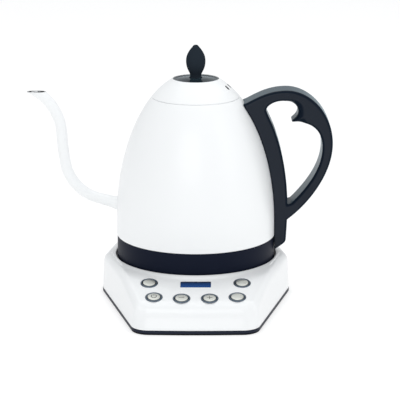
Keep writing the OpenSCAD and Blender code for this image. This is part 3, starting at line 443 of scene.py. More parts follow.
def bezier(a, b, c, d, steps, first=0):
    # the points of a curve from a to d; first=1 leaves out a, which the outline has already
    return [tuple(p * (1 - t) ** 3 + q * 3 * t * (1 - t) ** 2 + r * 3 * t * t * (1 - t) + s * t ** 3
                  for p, q, r, s in zip(a, b, c, d))
            for t in (i / steps for i in range(first, steps + 1))]


def block(ring, low, high, place):
    # an outline drawn out between two heights
    count = len(ring)
    verts = [place @ Vector((x * mm, y * mm, z * mm)) for z in (low, high) for x, y in ring]
    return verts, quads(count, 0, count) + [list(range(count))[::-1], list(range(count, 2 * count))]


def eased(share):
    # runs from 0 to 1 with a soft start and a soft end
    share = numpy.clip(share, 0, 1)
    return share * share * (3 - 2 * share)


def cut(piece, *cutters, operation="DIFFERENCE"):
    for cutter in cutters:
        modifier = piece.modifiers.new("cut", "BOOLEAN")
        modifier.object = cutter
        modifier.operation = operation
        modifier.solver = "EXACT"
    applyModifiers(piece)
    for cutter in cutters:
        bpy.data.objects.remove(cutter)


def applyModifiers(piece):
    # the mesh that the modifiers make becomes the piece's own
    bpy.context.view_layer.update()
    made = bpy.data.meshes.new_from_object(piece.evaluated_get(bpy.context.evaluated_depsgraph_get()))
    piece.modifiers.clear()
    piece.data = made


def tool(verts, faces, layer=0):
    # a cutter; its layer is the material that the faces it leaves behind have
    mesh = bpy.data.meshes.new("tool")
    mesh.from_pydata([tuple(v) for v in verts], [], faces)
    for polygon in mesh.polygons:
        polygon.material_index = layer
    tidyNormals(mesh, 30)
    holder = bpy.data.objects.new("tool", mesh)
    bpy.context.scene.collection.objects.link(holder)
    return holder


def rod(radius, low, high, place):
    return tool(*spin([(0, low), (radius, low), (radius, high), (0, high)], 48, place))


def atBand(x=0, y=0, z=0):
    # a place in the kettle's own frame, in mm up from the top of the band
    return Matrix.Translation((x * mm, y * mm, bandZ + z * mm))


# kettle body

kettleBody = dict(
    radius=70.5, domeStart=12.3, domeHeight=132.9,  # a straight foot, then an elliptical dome
    seam=123.3, seamRound=0.7, ledge=4.3, neck=9.5, wall=0.9, footEdge=0.35)


def domePoints(low, high, depth, steps):
    # the dome's profile between two heights, or the profile of its inside at a depth
    b = kettleBody
    first, last = (math.asin((z - b["domeStart"]) / b["domeHeight"]) for z in (low, high))
    turns = [first + (last - first) * i / steps for i in range(steps + 1)]
    return [((b["radius"] - depth) * math.cos(t), b["domeStart"] + (b["domeHeight"] - depth) * math.sin(t))
            for t in turns]


def domeRadius(z):
    b = kettleBody
    if z <= b["domeStart"]:
        return b["radius"]
    return b["radius"] * math.sqrt(1 - ((z - b["domeStart"]) / b["domeHeight"]) ** 2)


def domeTop(radius):
    # the dome's height at a distance from its axis
    b = kettleBody
    return b["domeStart"] + b["domeHeight"] * math.sqrt(1 - (radius / b["radius"]) ** 2)


def makeBody():
    b = kettleBody
    seam, wall = b["seam"], b["wall"]
    outer = domePoints(b["domeStart"], seam - b["seamRound"], 0, 60)
    inner = domePoints(b["domeStart"], seam - b["seamRound"], wall, 40)
    seamR = domeRadius(seam)
    neckR = seamR - b["ledge"]
    neckLow = seam - b["neck"]
    profile = [(b["radius"] - b["footEdge"], 0), (b["radius"], b["footEdge"])] + outer
    profile += bezier(outer[-1], (seamR + 0.1, seam - 0.15), (seamR - 0.1, seam), (seamR - 0.8, seam), 5, 1)
    profile += bezier((neckR + 0.6, seam), (neckR + 0.2, seam), (neckR, seam - 0.2), (neckR, seam - 0.6), 4)
    profile += [(neckR, neckLow), (neckR + wall, neckLow), (neckR + wall, inner[-1][1] + 0.1)]
    profile += inner[::-1] + [(b["radius"] - wall, 0)]
    return addPiece("kettleBody", *spin(profile, 192, atBand()), paints["body"], "kettle",
                    ["kettle_shell"], "body_enamel")


bodyPiece = makeBody()
print("body turned")

# gooseneck

gooseneck = dict(
    diameter=9.7, rootDiameter=10.8, wall=0.8, sides=48,
    rootInset=4.5, rootZ=25.9, climb=15, run=20.9,  # the straight stretch that leaves the body
    bends=[
        # radius, degrees, side, steps
        (40, 65, -1, 40), (193, 8, -1, 10), (47.6, 64, 1, 44)],
    mouthZ=127.7, weld=0.75, weldAt=4.2, weldWide=2.6,
    boreFrom=-8, boreTo=12)  # along the tube, where it goes through the body's wall
rootX = gooseneck["rootInset"] - kettleBody["radius"]


def gooseneckPath():
    # centre line in the XZ plane as (x, z, heading), from inside the body to past the mouth
    g = gooseneck
    heading = math.radians(180 - g["climb"])
    path = [(rootX + s * math.cos(heading), g["rootZ"] + s * math.sin(heading), heading)
            for s in (g["run"] * i / 16 for i in range(17))]
    for radius, turn, side, steps in g["bends"]:
        x, z, start = path[-1]
        for i in range(1, steps + 1):
            h = start + side * math.radians(turn) * i / steps
            path.append((x + side * radius * (math.sin(h) - math.sin(start)),
                         z - side * radius * (math.cos(h) - math.cos(start)), h))
    return path


def tubeRadius(along, depth):
    # thicker towards the root, with a bead of weld where the outside meets the body
    g = gooseneck
    weld = g["weld"] * math.exp(-((along - g["weldAt"]) / g["weldWide"]) ** 2) if depth == 0 else 0
    taper = max(0, 1 - along / g["run"])
    return g["diameter"] / 2 + (g["rootDiameter"] - g["diameter"]) / 2 * taper - depth + weld


def trimMouth(mesh, mouth):
    # saws the tube off level and closes its rim, which is bare metal like the bore
    work = bmesh.new()
    work.from_mesh(mesh)
    bmesh.ops.bisect_plane(work, geom=work.verts[:] + work.edges[:] + work.faces[:], dist=1e-6,
                           plane_co=(0, 0, mouth), plane_no=(0, 0, 1), clear_outer=True)
    rim = [e for e in work.edges if e.is_boundary and all(abs(v.co.z - mouth) < 1e-5 for v in e.verts)]
    for face in bmesh.ops.bridge_loops(work, edges=rim)["faces"]:
        face.material_index = 1
    work.to_mesh(mesh)
    work.free()


def makeGooseneck():
    path, sides = gooseneckPath(), gooseneck["sides"]
    verts, faces = [], []
    for depth in (0, gooseneck["wall"]):
        first = len(verts)
        for x, z, h in path:
            r = tubeRadius(math.dist(path[0][:2], (x, z)), depth)
            for k in range(sides):
                t = 2 * math.pi * k / sides
                verts.append(((x - r * math.cos(t) * math.sin(h)) * mm, r * math.sin(t) * mm,
                              (z + r * math.cos(t) * math.cos(h)) * mm + bandZ))
        for i in range(len(path) - 1):
            faces += quads(sides, first + i * sides, first + (i + 1) * sides)
    faces += quads(sides, 0, len(path) * sides)
    mesh = bpy.data.meshes.new("gooseneck")
    mesh.from_pydata(verts, [], faces)
    for polygon in mesh.polygons[(len(path) - 1) * sides:]:
        polygon.material_index = 1
    trimMouth(mesh, bandZ + gooseneck["mouthZ"] * mm)
    piece = finishPiece("gooseneck", mesh, paints["body"], "kettle", ["spout_tube"], 40)
    piece.data.materials.append(paints["steel"])


def boreBody(body):
    # the gooseneck's bore goes on through the body's wall
    g = gooseneck
    place = atBand(rootX, 0, g["rootZ"]) @ Matrix.Rotation(-math.radians(90 - g["climb"]), 4, "Y")
    cut(body, rod(g["rootDiameter"] / 2 - g["wall"], g["boreFrom"], g["boreTo"], place))
    tidyNormals(body.data, 35)


makeGooseneck()
boreBody(bodyPiece)
print("gooseneck bent")

# lid, disc and knob

lid = dict(gap=0.3, wall=1.6, seamRound=0.7, screwHole=2.1,
           discR=19.8, discT=1.2, discGap=0.4, crown=1.3, sink=0.6)
vents = dict(turn=-12, spread=8.4, long=5.0, wide=2.9, outwards=0.2, low=-4, high=3)
knob = dict(radius=8.5, height=30.4, neck=4.85, collar=5.6, tip=1.9, wide=17, recess=0.3,
            screw=1.6, screwTop=11)
lidLip = lid["discR"] + lid["discGap"]
discTop = domeTop(lidLip) - lid["sink"]
discFloor = discTop - lid["discT"]


def makeLid():
    low, wall, hole = kettleBody["seam"] + lid["gap"], lid["wall"], lid["screwHole"]
    rimR, lipZ = domeRadius(low), domeTop(lidLip)
    outer = domePoints(low + lid["seamRound"], lipZ, 0, 36)
    inner = domePoints(low, discFloor - wall, wall, 24)
    profile = bezier((rimR - 0.8, low), (rimR - 0.1, low), (rimR + 0.05, low + 0.1), outer[0], 5)
    profile += outer[1:-1]
    profile += bezier(outer[-1], (lidLip + 0.1, lipZ + 0.02), (lidLip, lipZ - 0.1), (lidLip, lipZ - 0.45), 4)
    profile += [(lidLip, discFloor), (hole, discFloor), (hole, inner[-1][1])] + inner[::-1]
    shell = addPiece("lidDome", *spin(profile, 160, atBand()), paints["body"], "lid",
                     ["lid_shell"], "lid_enamel")
    cutVents(shell)


def cutVents(shell):
    # two slots side by side, square to the dome where they cross it, with walls in painted shade
    v, b = vents, kettleBody
    ventR = (lidLip + domeRadius(b["seam"])) / 2 - v["outwards"]
    ventZ = domeTop(ventR)
    slope = math.atan(b["domeHeight"] ** 2 * ventR / (b["radius"] ** 2 * (ventZ - b["domeStart"])))
    half, wide = v["long"] / 2, v["wide"] / 2
    ring = rectangle(-half, -wide, half, wide, wide * 0.98)
    cutters = []
    for side in (-1, 1):
        turn = Matrix.Rotation(math.radians(v["turn"] + side * v["spread"]), 4, "Z")
        spot = turn @ atBand(ventR, 0, ventZ) @ Matrix.Rotation(slope, 4, "Y")
        cutters.append(tool(*block(ring, v["low"], v["high"], spot), 1))
    # the slots' walls take the band's dark navy: a painted shade inside the steam holes
    shell.data.materials.append(paints["band"])
    cut(shell, *cutters)
    tidyNormals(shell.data, 35)


def makeDisc():
    # a raised rolled edge, then a low dome up to the knob, whose foot sits in a recess
    r, top, crown = lid["discR"], discTop, discTop + lid["crown"]
    seat, recess, hole = knob["collar"] + 0.1, discTop - knob["recess"] - 0.04, lid["screwHole"]
    low = discFloor + 0.05
    plate = [(hole, low), (r - 0.3, low), (r, low + 0.3), (r, top - 0.25)]
    plate += bezier((r, top - 0.25), (r, top + 0.12), (r - 0.3, top + 0.22), (r - 0.7, top + 0.2), 5, 1)
    plate += bezier((r - 0.7, top + 0.2), (r - 1.1, top + 0.17), (r - 1.3, top), (r - 2.0, top - 0.06), 5, 1)
    plate += bezier((r - 2.0, top - 0.06), (r - 4, top - 0.1), (10, crown), (seat, crown), 12, 1)
    plate += [(seat, recess), (hole, recess)]
    addPiece("knobDisc", *spin(plate, 144, atBand()), paints["disc"], "lid", ["knob_disc"], "disc_gloss")


def makeKnob():
    # a collar, a thin neck and an egg that runs up to a blunt tip
    collar, neck, radius, tip = knob["collar"], knob["neck"], knob["radius"], knob["tip"]
    wide, high, screw = knob["wide"], knob["height"], knob["screw"]
    spindle = rounded([(screw, 0), (collar, 0), (collar, 2.2), (neck, 2.5), (neck, 3.2)],
                      [0, 0.4, 0.35, 0.1, 0], 3)
    spindle += bezier((neck, 3.2), (neck - 0.1, 6.4), (radius, 8.6), (radius, wide - 0.6), 16, 1)
    spindle += bezier((radius, wide - 0.6), (radius, wide + 6), (radius - 4.0, high - 3.6),
                      (tip, high - 0.35), 18, 1)
    spindle += bezier((tip, high - 0.35), (tip - 0.3, high - 0.05), (1.0, high), (0, high), 4, 1)
    spindle += [(0, knob["screwTop"]), (screw, knob["screwTop"])]
    place = atBand(0, 0, discTop - knob["recess"])
    addPiece("lidKnob", *spin(spindle, 96, place), paints["knob"], "lid", ["lid_knob"], "knob_plastic", 40)


makeLid()
makeDisc()
makeKnob()
print("lid and knob made")

# band

band = dict(height=23.7, radius=70.0, wall=2.4, topEdge=0.35, footEdge=1.4,
            shelfR=53, shelfLow=-3, shelfTop=-1.2, spigotGap=1.2, spigotWall=2, spigotHigh=3.5)


def makeBand():
    # a ring with an inner shelf for the vessel's floor and a spigot that stands inside the body
    b = band
    outR, inR, foot = b["radius"], b["radius"] - b["wall"], -b["height"]
    shelfR, low, top = b["shelfR"], b["shelfLow"], b["shelfTop"]
    spigot = kettleBody["radius"] - kettleBody["wall"] - b["spigotGap"]
    spigotIn, high = spigot - b["spigotWall"], b["spigotHigh"]
    profile = rounded(
        [(outR, 0), (outR, foot), (inR, foot), (inR, low), (shelfR, low),
         (shelfR, top), (spigotIn, top), (spigotIn, high), (spigot, high), (spigot, 0)],
        [b["topEdge"], b["footEdge"], 0.5, 0.3, 0, 0, 0, 0, 0, 0], 4)
    addPiece("footBand", *spin(profile, 160, atBand()), paints["band"], "kettle",
             ["base_ring"], "band_plastic")


makeBand()
print("band made")

# handle

handle = dict(
    width=27.0, reach=49.8, crest=7.6, grip=9.3, strap=9.8, strapTaper=4.6, edge=2.8, drop=13.0, gap=0.2,
    crestOut=9, waist=40.8,  # out from the body to the crest, and down from the seam to the widest place
    screws=(52.0, 96.3), wellR=3.6, wellFloor=8.2, wellEnd=20,
    windowFoot=28.5, roofX=76, roofZ=121.6, beakNose=(89.4, 111.8), beakTip=(84.3, 103.9),
    beakMiddle=(86.0, 111.0), beakReach=14.0, beakFade=5.0, beakEdge=6.8,  # where the edges are softer
    grain=0.6, gridLow=(32.0, -15.0, -16.0), gridHigh=(123.0, 15.0, 134.0))


def strapX(z):
    # the outer face of the strap that follows the body
    return domeRadius(z) + handle["strap"] + handle["strapTaper"] * z / 100


def handleOutline():
    # from the foot of the strap, out round the grip and over its crest, then back inside the body
    r, seam, foot = kettleBody["radius"], kettleBody["seam"], -handle["drop"]
    crest, crestX = seam + handle["crest"], r + handle["crestOut"]
    outX, midZ = r + handle["reach"], seam - handle["waist"]
    endX = domeRadius(seam - 4) - 0.4
    outline = [(r - 8, foot), (r - 0.5, foot), (r + 3, foot + 2.2), (r + 6.5, foot + 4.8),
               (r + 8.8, foot + 6.8), (strapX(0) - 0.3, -4), (strapX(4), 4)]
    outline += bezier((strapX(14.5), 14.5), (outX - 19.4, 29.5), (outX, midZ - 25.5), (outX, midZ), 28)
    outline += bezier((outX, midZ), (outX, midZ + 28), (crestX + 20.5, crest), (crestX, crest), 28, 1)
    outline += bezier((crestX, crest), (crestX - 13.5, crest), (crestX - 23, crest - 4.4),
                      (endX + 3.8, seam - 3), 16, 1)
    outline += [(endX, seam - 4.6), (endX, seam - 10), (endX - 6, seam - 12)]
    return outline + [(r - 30, seam - 40), (r - 16, 30)]


def handleWindow():
    # up the strap and over, round the beak that hangs from the top, then down inside the grip
    foot, top = handle["windowFoot"], kettleBody["seam"] - 15
    roofX, roofZ = handle["roofX"], handle["roofZ"]
    nose, tip = handle["beakNose"], handle["beakTip"]
    inX = kettleBody["radius"] + handle["reach"] - handle["grip"]
    strap = [(strapX(z), z) for z in (foot + (top - foot) * i / 26 for i in range(27))]
    strap += bezier((strapX(top) - 1.4, top + 3.6), (59.5, 115), (66.5, roofZ), (roofX, roofZ), 14)
    beak = bezier((roofX, roofZ), (roofX + 6.5, roofZ), (nose[0], roofZ - 3), nose, 12, 1)
    beak += bezier(nose, (nose[0], nose[1] - 3.4), (tip[0] + 2.7, tip[1] + 2.1), tip, 10, 1)
    beak += [(tip[0] - 0.4, tip[1] - 0.8), (tip[0], tip[1] - 1.5)]
    beak += bezier((tip[0] + 0.9, tip[1] - 1.7), (95, tip[1] - 0.3), (inX, 100), (inX, 80), 22)
    return strap + beak + bezier((inX, 80), (inX, 66), (inX - 6.5, 50), (tip[0] + 0.1, foot + 1), 24, 1)


def outlineDistance(x, z, points):
    # how far each grid point is outside a closed outline; less than 0 inside it
    shape = numpy.broadcast(x, z).shape
    nearest, inside = numpy.full(shape, 1e9), numpy.zeros(shape, bool)
    for k, (x1, z1) in enumerate(points):
        x0, z0 = points[k - 1]
        dx, dz = x1 - x0, z1 - z0
        long = dx * dx + dz * dz
        if long < 1e-12:
            continue
        share = numpy.clip(((x - x0) * dx + (z - z0) * dz) / long, 0, 1)
        nearest = numpy.minimum(nearest, (x - x0 - share * dx) ** 2 + (z - z0 - share * dz) ** 2)
        if z0 != z1:
            inside ^= ((z0 > z) != (z1 > z)) & (x < dx * (z - z0) / dz + x0)
    return numpy.where(inside, -1, 1) * numpy.sqrt(nearest)


def handleField(x, y, z):
    # distance to the handle's surface over the whole grid
    h, b = handle, kettleBody
    side = numpy.maximum(outlineDistance(x, z, handleOutline()), -outlineDistance(x, z, handleWindow()))
    # the edges are much softer round the beak
    near = numpy.hypot(x - h["beakMiddle"][0], z - h["beakMiddle"][1])
    edge = h["edge"] + (h["beakEdge"] - h["edge"]) * eased((h["beakReach"] - near) / h["beakFade"])
    half = h["width"] / 2
    a, c = side + edge, numpy.abs(y) - half + edge
    solid = numpy.hypot(numpy.maximum(a, 0), numpy.maximum(c, 0)) - edge
    solid = solid + numpy.minimum(numpy.maximum(a, c), 0)
    # it stops short of the body's wall
    up = numpy.clip(z, b["domeStart"], b["seam"])
    share = (up - b["domeStart"]) / b["domeHeight"]
    wallX = b["radius"] * numpy.sqrt(1 - share ** 2)
    steep = b["radius"] * share / numpy.sqrt(1 - share ** 2) / b["domeHeight"]
    outside = (numpy.hypot(x, y) - wallX) / numpy.hypot(1, steep) - h["gap"]
    solid = numpy.maximum(solid, -outside)
    for level in h["screws"]:
        reach = x - domeRadius(level)
        well = numpy.maximum(numpy.hypot(y, z - level) - h["wellR"], h["wellFloor"] - reach)
        well = numpy.maximum(well, reach - h["wellEnd"])
        solid = numpy.maximum(solid, -well)
    return solid


def fieldMesh(name, field, corner, step):
    # a smooth skin where the field is 0: one point per mixed cell, one face per crossed grid edge
    size = numpy.array(field.shape) - 1
    total, count = numpy.zeros(tuple(size) + (3,)), numpy.zeros(tuple(size))

    def part(i, j, k):
        return field[i:i + size[0], j:j + size[1], k:k + size[2]]

    for axis in range(3):
        for u in (0, 1):
            for v in (0, 1):
                start = [u, v]
                start.insert(axis, 0)
                end = list(start)
                end[axis] = 1
                first, last = part(*start), part(*end)
                crossed = (first < 0) != (last < 0)
                share = numpy.where(crossed, first / numpy.where(crossed, first - last, 1), 0)
                for k in range(3):
                    total[..., k] += crossed * (start[k] + (share if k == axis else 0))
                count += crossed
    mixed = count > 0
    index = numpy.full(count.shape, -1)
    index[mixed] = numpy.arange(mixed.sum())
    verts = (numpy.argwhere(mixed) + total[mixed] / count[mixed][:, None]) * step + corner
    faces = []
    for axis in range(3):
        # the four cells round each crossed edge make a face
        one, two = [k for k in range(3) if k != axis]
        end = [slice(1, -1)] * 3
        ahead = list(end)
        end[axis], ahead[axis] = slice(0, -1), slice(1, None)
        first, last = field[tuple(end)] < 0, field[tuple(ahead)] < 0
        spots = numpy.argwhere(first != last)
        spots[:, one] += 1
        spots[:, two] += 1
        ring = []
        for u, v in ((0, 0), (-1, 0), (-1, -1), (0, -1)):
            cell = spots.copy()
            cell[:, one] += u
            cell[:, two] += v
            ring.append(index[tuple(cell.T)])
        faces.append(numpy.stack(ring, 1))
    mesh = bpy.data.meshes.new(name)
    mesh.from_pydata((verts * mm).tolist(), [], numpy.concatenate(faces).tolist())
    return mesh


def makeHandle():
    step, corner, far = handle["grain"], numpy.array(handle["gridLow"]), handle["gridHigh"]
    counts = [int(math.ceil((far[k] - corner[k]) / step)) + 1 for k in range(3)]
    x, y, z = (corner[k] + numpy.arange(counts[k]) * step for k in range(3))
    field = handleField(*numpy.meshgrid(x, y, z, indexing="ij", sparse=True))
    mesh = fieldMesh("handleGrip", field, corner, step)
    mesh.transform(atBand())
    piece = finishPiece("handleGrip", mesh, paints["grip"], "kettle", ["handle"], 60)
    relax = piece.modifiers.new("relax", "SMOOTH")
    relax.factor = 0.5
    relax.iterations = 3
    applyModifiers(piece)


makeHandle()
print("handle moulded")

# power base

panel = dict(y=72.0, z=35.9, slope=13.5)
# where the buttons are, in mm across the panel and up its slope
buttonSpots = dict(power=(-35.1, -33.7), minus=(-11.8, -35.7), plus=(11.8, -35.7), hold=(35.1, -33.7),
                   timer=(-39.6, -10.8), units=(39.6, -10.8))
displayWindow = dict(width=26.0, height=9.8, middle=12.7, border=0.25, low=-3.5, top=-0.12)
bezel = dict(bore=5.65, sleeve=6.6, outer=7.45, depth=3.2, high=0.75)


def windowRing(inset, radius):
    # the display's outline on the panel
    half, tall = displayWindow["width"] / 2 - inset, displayWindow["height"] / 2 - inset
    return rectangle(-half, -tall - displayWindow["middle"], half, tall - displayWindow["middle"], radius)


def atPanel(x, y):
    # the panel's own frame: x across, y up its slope, z out of its face
    lean = Matrix.Rotation(math.radians(panel["slope"]), 4, "X")
    face = Matrix.Translation((0, -panel["y"] * mm, panel["z"] * mm))
    return face @ lean @ Matrix.Translation((x * mm, y * mm, 0))


base = dict(
    # half widths and depths of the outline, then the radii of its corners
    halfWide=84.5, frontHalf=51.5, rearHalf=68.0, frontY=120.9, frontBow=1.6, rearY=80.0,
    sideR=22, rearR=55, frontR=16, bowR=700, cornerSteps=12, sideSteps=14,
    # the walls and the top's edge, which lean and round more along the front
    high=36.3, lip=4.0, inset=0.2, wall=2.5, fold=1.1, edge=7.0, frontEdge=9.0, draft=1.2,
    frontLean=3.3, frontFrom=0.55, frontSpan=0.4,
    # the round seat, the level rim round it and the hole for the post
    seatR=71.4, seatZ=31.5, seatEdge=0.9, seatFillet=1.4, rim=0.9, rimSlope=6, postR=16.2)
gland = dict(y=79.7, z=15.0, bore=5.65, padHalf=9.5, padTop=24.5, padRound=4, padDepth=4)


def baseOutline(depth):
    # seven rounded corners, moved inwards by a depth; the one at the front is nearly flat
    b = base
    wide, rear, front = b["halfWide"], b["rearHalf"], b["frontHalf"]
    rearY, frontY = b["rearY"], -b["frontY"]
    corners = [(wide, 0), (rear, rearY), (-rear, rearY), (-wide, 0),
               (-front, frontY), (0, frontY - b["frontBow"]), (front, frontY)]
    radii = [b[key] for key in ("sideR", "rearR", "rearR", "sideR", "frontR", "bowR", "frontR")]
    moved = []
    for k, corner in enumerate(corners):
        p, q, s = (Vector(corners[(k + j) % 7]) for j in (-1, 0, 1))
        u, v = (p - q).normalized(), (s - q).normalized()
        moved.append(q + (u + v).normalized() * depth / math.sin(math.acos(u.dot(v)) / 2))
    return evenSides(rounded([tuple(m) for m in moved], [r - depth for r in radii], b["cornerSteps"]))


def evenSides(points):
    # the straight sides between two corners get points of their own
    out = []
    corner, steps = base["cornerSteps"], base["sideSteps"]
    for k, p in enumerate(points):
        q = points[(k + 1) % len(points)]
        out.append(p)
        if k % (corner + 1) == corner:
            out += [tuple(a + (b - a) * i / steps for a, b in zip(p, q)) for i in range(1, steps)]
    return out


def topHeight(y):
    # the flat top and the panel's slope, run together over a few millimetres
    high, fold = base["high"], base["fold"]
    slope = panel["z"] + (y + panel["y"]) * math.tan(math.radians(panel["slope"]))
    gap = (slope - high) / fold
    if gap < -30:
        return slope
    if gap > 30:
        return high
    return high - math.log1p(math.exp(-gap)) * fold


def outwards(outline):
    # the direction square to the outline at each of its points
    normals = []
    for k in range(len(outline)):
        side = (Vector(outline[(k + 1) % len(outline)]) - Vector(outline[k - 1])).normalized()
        normals.append(Vector((side.y, -side.x)))
    return normals


def coverRows():
    # rings of points, from the outer foot over the top, down into the seat and back up the inside
    b = base
    rimZ, seatIn = b["high"] + b["rim"], b["seatR"] + b["wall"] - 2
    outline = baseOutline(b["inset"])
    normals = outwards(outline)
    rows = []

    def row(place):
        rows.append([place(k) for k in range(len(outline))])

    def frontness(k):
        # 1 along the front, 0 along the sides and the rear
        return eased((-normals[k].y - b["frontFrom"]) / b["frontSpan"])

    def edgeOf(k):
        # the top edge's radius, less where the seat is near
        room = Vector(outline[k]).length - b["seatR"] - 3
        return max(2.5, min(b["edge"] + (b["frontEdge"] - b["edge"]) * frontness(k), room))

    def leanOf(k):
        # how far the wall leans in on its way up
        return b["draft"] + (b["frontLean"] - b["draft"]) * frontness(k)

    def wallPoint(k, inwards, height):
        p = Vector(outline[k]) - normals[k] * inwards
        return p.x, p.y, height(p.y)

    def seatHeight(x, y):
        # the panel rises to a level rim round the seat
        share = eased(1 - (math.hypot(x, y) - b["seatR"] - b["seatEdge"]) / b["rimSlope"])
        return topHeight(y) + (rimZ - topHeight(y)) * share

    def onTop(k, share):
        p = Vector(shoulder[k][:2])
        place = p.lerp(p.normalized() * (b["seatR"] + b["seatEdge"]), share)
        return place.x, place.y, seatHeight(place.x, place.y)

    def ring(radius, height):
        def place(k):
            spot = Vector(shoulder[k][:2]).normalized() * radius
            return spot.x, spot.y, height
        return place

    def inside(k, up):
        inwards = leanOf(k) + b["wall"] + (edgeOf(k) - 1) * up
        return wallPoint(k, inwards, lambda y: topHeight(y) - b["wall"] - 0.4 - edgeOf(k) * (1 - up))

    for drop, lift in ((0.5, 0), (0.12, 0.12), (0, 0.5)):
        row(lambda k: wallPoint(k, drop, lambda y: b["lip"] + lift))
    start = b["lip"] + 0.5
    for i in range(1, 7):
        row(lambda k: wallPoint(k, leanOf(k) * i / 6,
                                lambda y: start + (topHeight(y) - edgeOf(k) - start) * i / 6))
    for i in range(1, 13):
        t = math.pi / 2 * i / 12
        row(lambda k: wallPoint(k, leanOf(k) + edgeOf(k) * (1 - math.cos(t)),
                                lambda y: topHeight(y) - edgeOf(k) * (1 - math.sin(t))))
    shoulder = rows[-1]
    for i in range(1, 17):
        row(lambda k: onTop(k, 1 - (1 - i / 16) ** 1.5))
    for i in range(1, 6):
        t = math.pi / 2 * i / 5
        row(ring(b["seatR"] + b["seatEdge"] * (1 - math.sin(t)), rimZ - b["seatEdge"] * (1 - math.cos(t))))
    for i in range(0, 6):
        t = math.pi / 2 * i / 5
        inwards, up = b["seatFillet"] * (1 - math.cos(t)), b["seatFillet"] * (1 - math.sin(t))
        row(ring(b["seatR"] - inwards, b["seatZ"] + up))
    for radius in (60, 45, 30, b["postR"] + 0.5):
        row(ring(radius, b["seatZ"]))
    under = b["seatZ"] - b["wall"]
    row(ring(b["postR"], b["seatZ"] - 0.4))
    row(ring(b["postR"], under))
    row(ring(seatIn, under))
    row(ring(seatIn, b["high"] - b["wall"]))
    row(lambda k: inside(k, 1))
    row(lambda k: inside(k, 0))
    row(lambda k: wallPoint(k, b["wall"], lambda y: b["lip"]))
    return rows


def makeBaseCover():
    rows = coverRows()
    count = len(rows[0])
    verts = [(x * mm, y * mm, z * mm) for line in rows for x, y, z in line]
    faces = []
    for i in range(len(rows)):
        faces += quads(count, i * count, (i + 1) % len(rows) * count)
    piece = addPiece("baseCover", verts, faces, paints["cover"], "base", ["base_cover"], "base_enamel", 40)
    addGlandPad(piece)
    cutPanel(piece)
    tidyNormals(piece.data, 40)


def addGlandPad(piece):
    # a flat pad at the rear, which the cord's gland goes through
    half, low, top, radius = gland["padHalf"], base["lip"], gland["padTop"], gland["padRound"]
    ring = rounded([(-half, low), (half, low), (half, top), (-half, top)], [0, 0, radius, radius])
    place = Matrix.Translation((0, gland["y"] * mm, 0)) @ Matrix.Rotation(math.radians(90), 4, "X")
    cut(piece, tool(*block(ring, 0, gland["padDepth"], place)), operation="UNION")


def cutPanel(piece):
    # the holes for the buttons, the display's window and the gland
    holes = [rod(bezel["sleeve"] + 0.05, -6, 6, atPanel(*spot)) for spot in buttonSpots.values()]
    holes.append(tool(*block(windowRing(-0.1, 0.8), -8, 6, atPanel(0, 0))))
    rear = Matrix.Translation((0, gland["y"] * mm, gland["z"] * mm))
    holes.append(rod(gland["bore"], -14, 6, rear @ Matrix.Rotation(math.radians(-90), 4, "X")))
    cut(piece, *holes)


makeBaseCover()
print("base cover lofted")

# buttons and display

cap = dict(radius=5.35, edge=0.62, crown=1.2, flange=6.1, stem=1.7, line=0.62, sign=2.4, mark=0.05)


def makeBezels():
    # chromed rings that stand proud of the panel, each on a sleeve that goes through it
    b = bezel
    bore, sleeve, outer, high = b["bore"], b["sleeve"], b["outer"], b["high"]
    profile = [(bore, -b["depth"]), (sleeve, -b["depth"]), (sleeve, 0.02), (outer, 0.02), (outer, 0.2)]
    profile += bezier((outer, 0.2), (outer - 0.1, high), (bore + 0.75, high + 0.12),
                      (bore + 0.3, high - 0.2), 8, 1)
    profile += [(bore, high - 0.65)]
    verts, faces = [], []
    for spot in buttonSpots.values():
        more, sides = spin(profile, 64, atPanel(*spot))
        faces += [[k + len(verts) for k in side] for side in sides]
        verts += more
    addPiece("buttonBezels", verts, faces, paints["chrome"], "base", ["button_bezels"], "bezel_chrome", 40)


def capHeight(r):
    # the cap's crown, which falls away towards its edge
    share = min(1, r / cap["radius"])
    return cap["crown"] - (cap["crown"] - cap["edge"] - 0.25) * share ** 3


def markShapes(kind):
    # outlines of a button's mark, in mm on its cap
    w, r = cap["line"] / 2, cap["sign"]

    def bar(x0, y0, x1, y1):
        return rectangle(x0, y0, x1, y1, w * 0.9, 3)

    def arc(radius, first, last):
        turns = [math.radians(first + (last - first) * i / 28) for i in range(29)]
        return ([((radius + w) * math.sin(t), (radius + w) * math.cos(t)) for t in turns]
                + [((radius - w) * math.sin(t), (radius - w) * math.cos(t)) for t in turns[::-1]])

    if kind == "power":
        return [arc(r * 0.92, 32, 328), bar(-w, r * 0.3, w, r * 1.25)]
    if kind == "minus":
        return [bar(-r, -w, r, w)]
    if kind == "plus":
        return [bar(-r, -w, r, w), bar(-w, w, w, r), bar(-w, -r, w, -w)]
    return []


def capProfile():
    # a stem behind a flange that the bezel holds in, then the domed cap
    c, under = cap, -bezel["depth"]
    r, foot = c["radius"], -7.4
    shoulder = capHeight(r - 0.6)
    profile = [(0, foot), (c["stem"], foot), (c["stem"], under - 1.5), (c["flange"], under - 1.5),
               (c["flange"], under - 0.3), (r, under - 0.3), (r, c["edge"])]
    profile += bezier((r, c["edge"]), (r, c["edge"] + 0.2), (r - 0.15, shoulder), (r - 0.6, shoulder), 4, 1)
    return profile + [(0.6 * k, capHeight(0.6 * k)) for k in range(7, -1, -1)]


